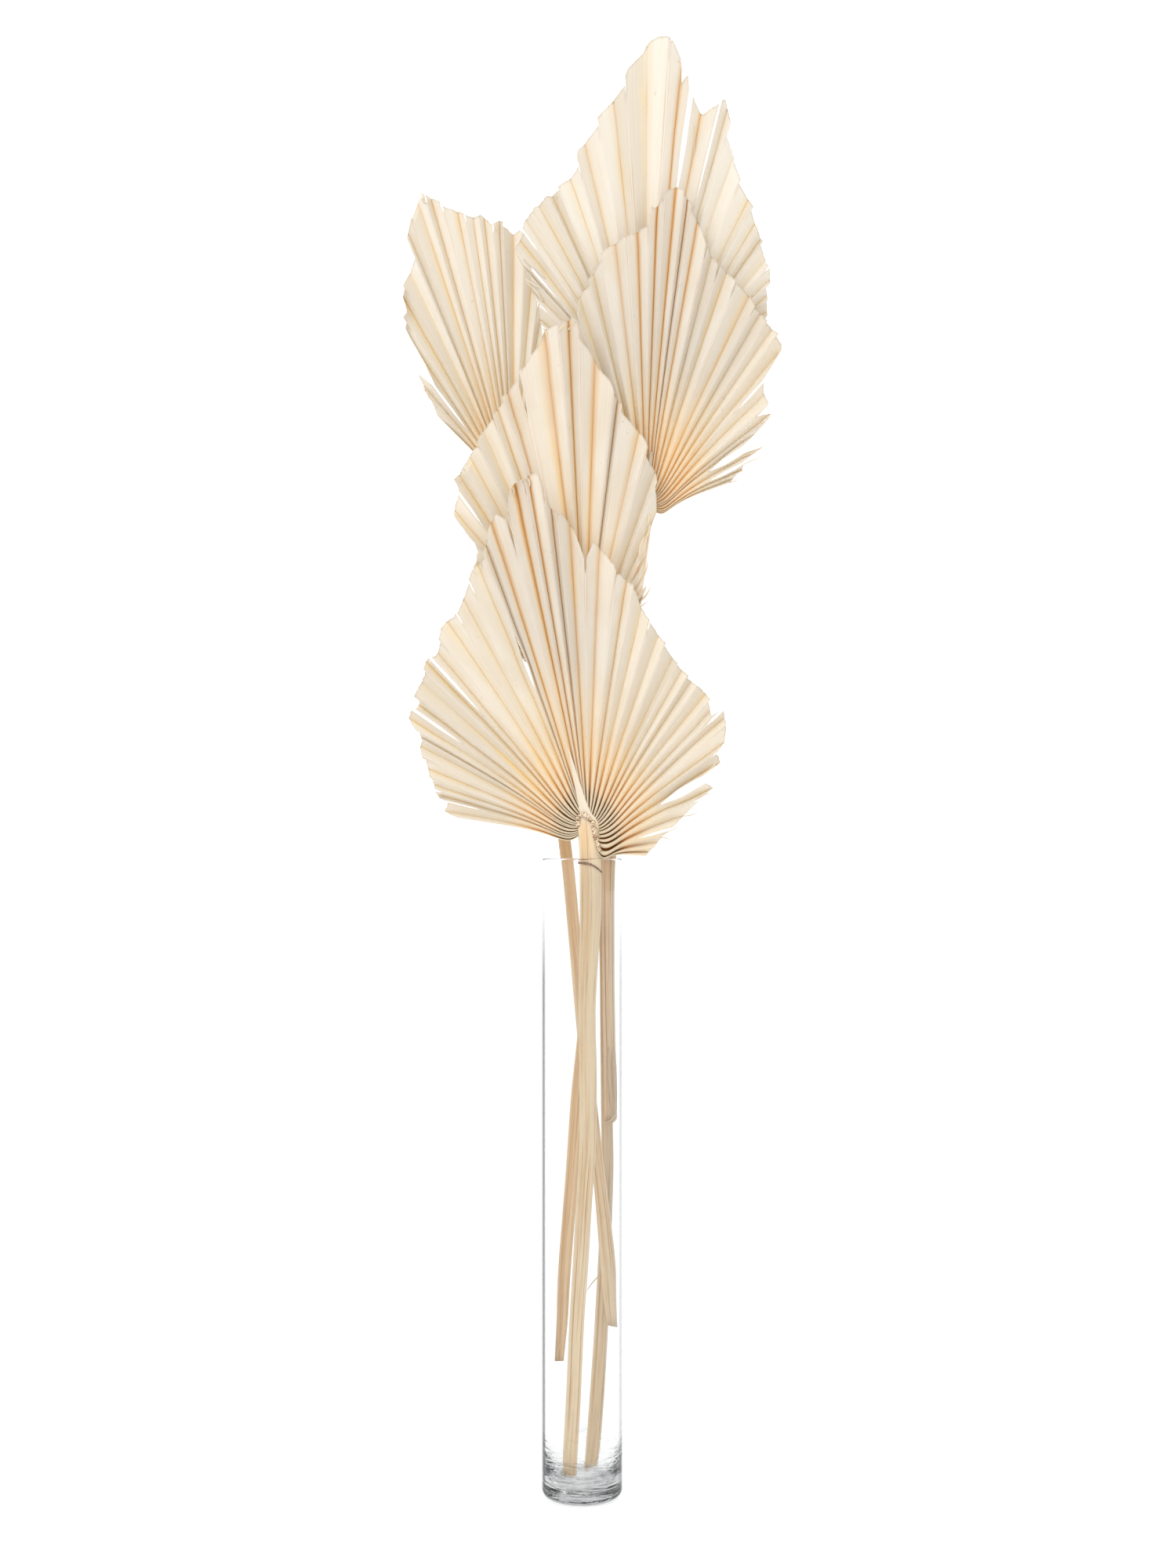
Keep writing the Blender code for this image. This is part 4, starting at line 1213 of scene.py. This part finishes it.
def vase_profile():
    """Half section of the vase as (r, z): over the rim, down its outer side and up its inner side."""
    half = VASE_WALL / 2
    rim = VASE_HEIGHT - half
    points = []
    for step in range(RIM_STEPS + 1):
        angle = math.pi * (1.0 - step / RIM_STEPS)
        points.append((BORE + half + half * math.cos(angle), rim + half * math.sin(angle)))
    points.append((VASE_RADIUS, rim - LOOP))
    for step in range(1, SIDE_STEPS):
        points.append((VASE_RADIUS, rim - (rim - VASE_HEEL) * step / SIDE_STEPS))
    points.append((VASE_RADIUS, VASE_HEEL + LOOP))
    for step in range(HEEL_STEPS + 1):
        angle = -math.pi / 2 * step / HEEL_STEPS
        points.append((VASE_RADIUS - VASE_HEEL + VASE_HEEL * math.cos(angle),
                       VASE_HEEL + VASE_HEEL * math.sin(angle)))
    points += [(VASE_RADIUS - VASE_HEEL - FOOT_LOOP, 0.0), (0.0, 0.0), (0.0, VASE_FLOOR)]
    for step in range(1, BOWL_STEPS + 1):
        radius = BORE * math.sin(math.pi / 2 * step / BOWL_STEPS)
        points.append((radius, bowl_height(radius)))
    for step in range(1, BORE_STEPS):
        points.append((BORE, VASE_BOWL_TOP + (rim - VASE_BOWL_TOP) * step / BORE_STEPS))
    points.append((BORE, rim - LOOP))
    return points


def make_vase(material):
    profile = vase_profile()
    mesh = bpy.data.meshes.new("vase_glass")
    count = len(profile)
    edges = [(i, (i + 1) % count) for i in range(count)
             if profile[i][0] > 0.0 or profile[(i + 1) % count][0] > 0.0]
    mesh.from_pydata([(r * MM, 0.0, z * MM) for r, z in profile], edges, [])
    mesh.materials.append(material)
    vase = link_object("vase_glass", mesh)
    screw = vase.modifiers.new("Turn", "SCREW")
    screw.axis = "Z"
    screw.angle = 2 * math.pi
    screw.steps = VASE_SIDES
    screw.render_steps = VASE_SIDES
    screw.use_merge_vertices = True
    screw.merge_threshold = 0.00001
    screw.use_smooth_shade = True
    return vase


# Stage


def make_floor():
    corners = [(x * FLOOR_HALF, y * FLOOR_HALF, 0.0) for x, y in ((-1, -1), (1, -1), (1, 1), (-1, 1))]
    mesh = make_mesh("floor", corners, [(0, 1, 2, 3)])
    mesh.materials.append(floor_material())
    floor = link_object("floor", mesh)
    floor.location.z = -FLOOR_DROP


def make_world():
    """White studio: bright in front and behind and grey at both sides, so that glass shows its edges."""
    world = bpy.data.worlds.new("studio")
    bpy.context.scene.world = world
    world.use_nodes = True
    nodes = world.node_tree.nodes
    links = world.node_tree.links
    back = nodes["Background"]
    where = nodes.new("ShaderNodeTexCoord")
    parts = nodes.new("ShaderNodeSeparateXYZ")
    links.new(where.outputs["Generated"], parts.inputs[0])
    aside = nodes.new("ShaderNodeMath")
    aside.operation = "ABSOLUTE"
    links.new(parts.outputs[0], aside.inputs[0])
    ramp = nodes.new("ShaderNodeValToRGB")
    ramp.color_ramp.elements[0].position = SIDES_FROM
    ramp.color_ramp.elements[0].color = (1.0, 1.0, 1.0, 1.0)
    ramp.color_ramp.elements[1].position = 1.0
    ramp.color_ramp.elements[1].color = SIDE_GREY
    links.new(aside.outputs[0], ramp.inputs[0])
    links.new(ramp.outputs[0], back.inputs["Color"])
    back.inputs["Strength"].default_value = WORLD_STRENGTH


def make_light(name, place, target, size, power, colour):
    data = bpy.data.lights.new(name, "AREA")
    data.shape = "DISK"
    data.size = size
    data.energy = power
    data.color = colour
    light = link_object(name, data)
    light.location = place
    light.rotation_euler = (Vector(target) - Vector(place)).to_track_quat("-Z", "Y").to_euler()


def make_camera():
    data = bpy.data.cameras.new("camera")
    data.sensor_width = SENSOR
    data.lens = LENS
    data.shift_y = SHIFT_Y
    camera = link_object("camera", data)
    camera.location = (SIDE_STEP, -DISTANCE, EYE_HEIGHT)
    camera.rotation_euler = (math.pi / 2, 0.0, 0.0)
    bpy.context.scene.camera = camera


def main():
    scene = bpy.context.scene
    scene.view_settings.view_transform = "Standard"
    make_camera()
    make_world()
    for name, values in LIGHTS.items():
        make_light(name, *values)
    make_floor()

    crust = crust_material()
    for name, spec in LEAVES.items():
        pale, painted_glow, hub, tint, strength, lines = FINISH[name]
        fan = Fan(name, spec)
        blade = make_blade(name, fan, leaf_material("blade_of_" + name, pale, painted_glow, hub))
        petiole = make_petiole(name, spec, petiole_material("petiole_of_" + name, tint, strength, lines))
        fibres = make_fibres(name, spec, fan, blade.data.materials[0])
        ridge = make_crust(name, spec, crust)
        pieces = [blade, petiole, ridge, fibres]
        if name == "leaf_front":
            # Painted refraction of the glass rim, as a dark line on the front petiole
            pieces.append(make_rim_refraction_line(rim_refraction_material()))
        if name in STEM_STRIPS:
            pieces.append(make_torn_strips(name, petiole.data.materials[0]))
        for piece in pieces:
            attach(piece, "root")
            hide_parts(name)
    vase = make_vase(glass_material())
    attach(vase, "root")
    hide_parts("vase")


main()
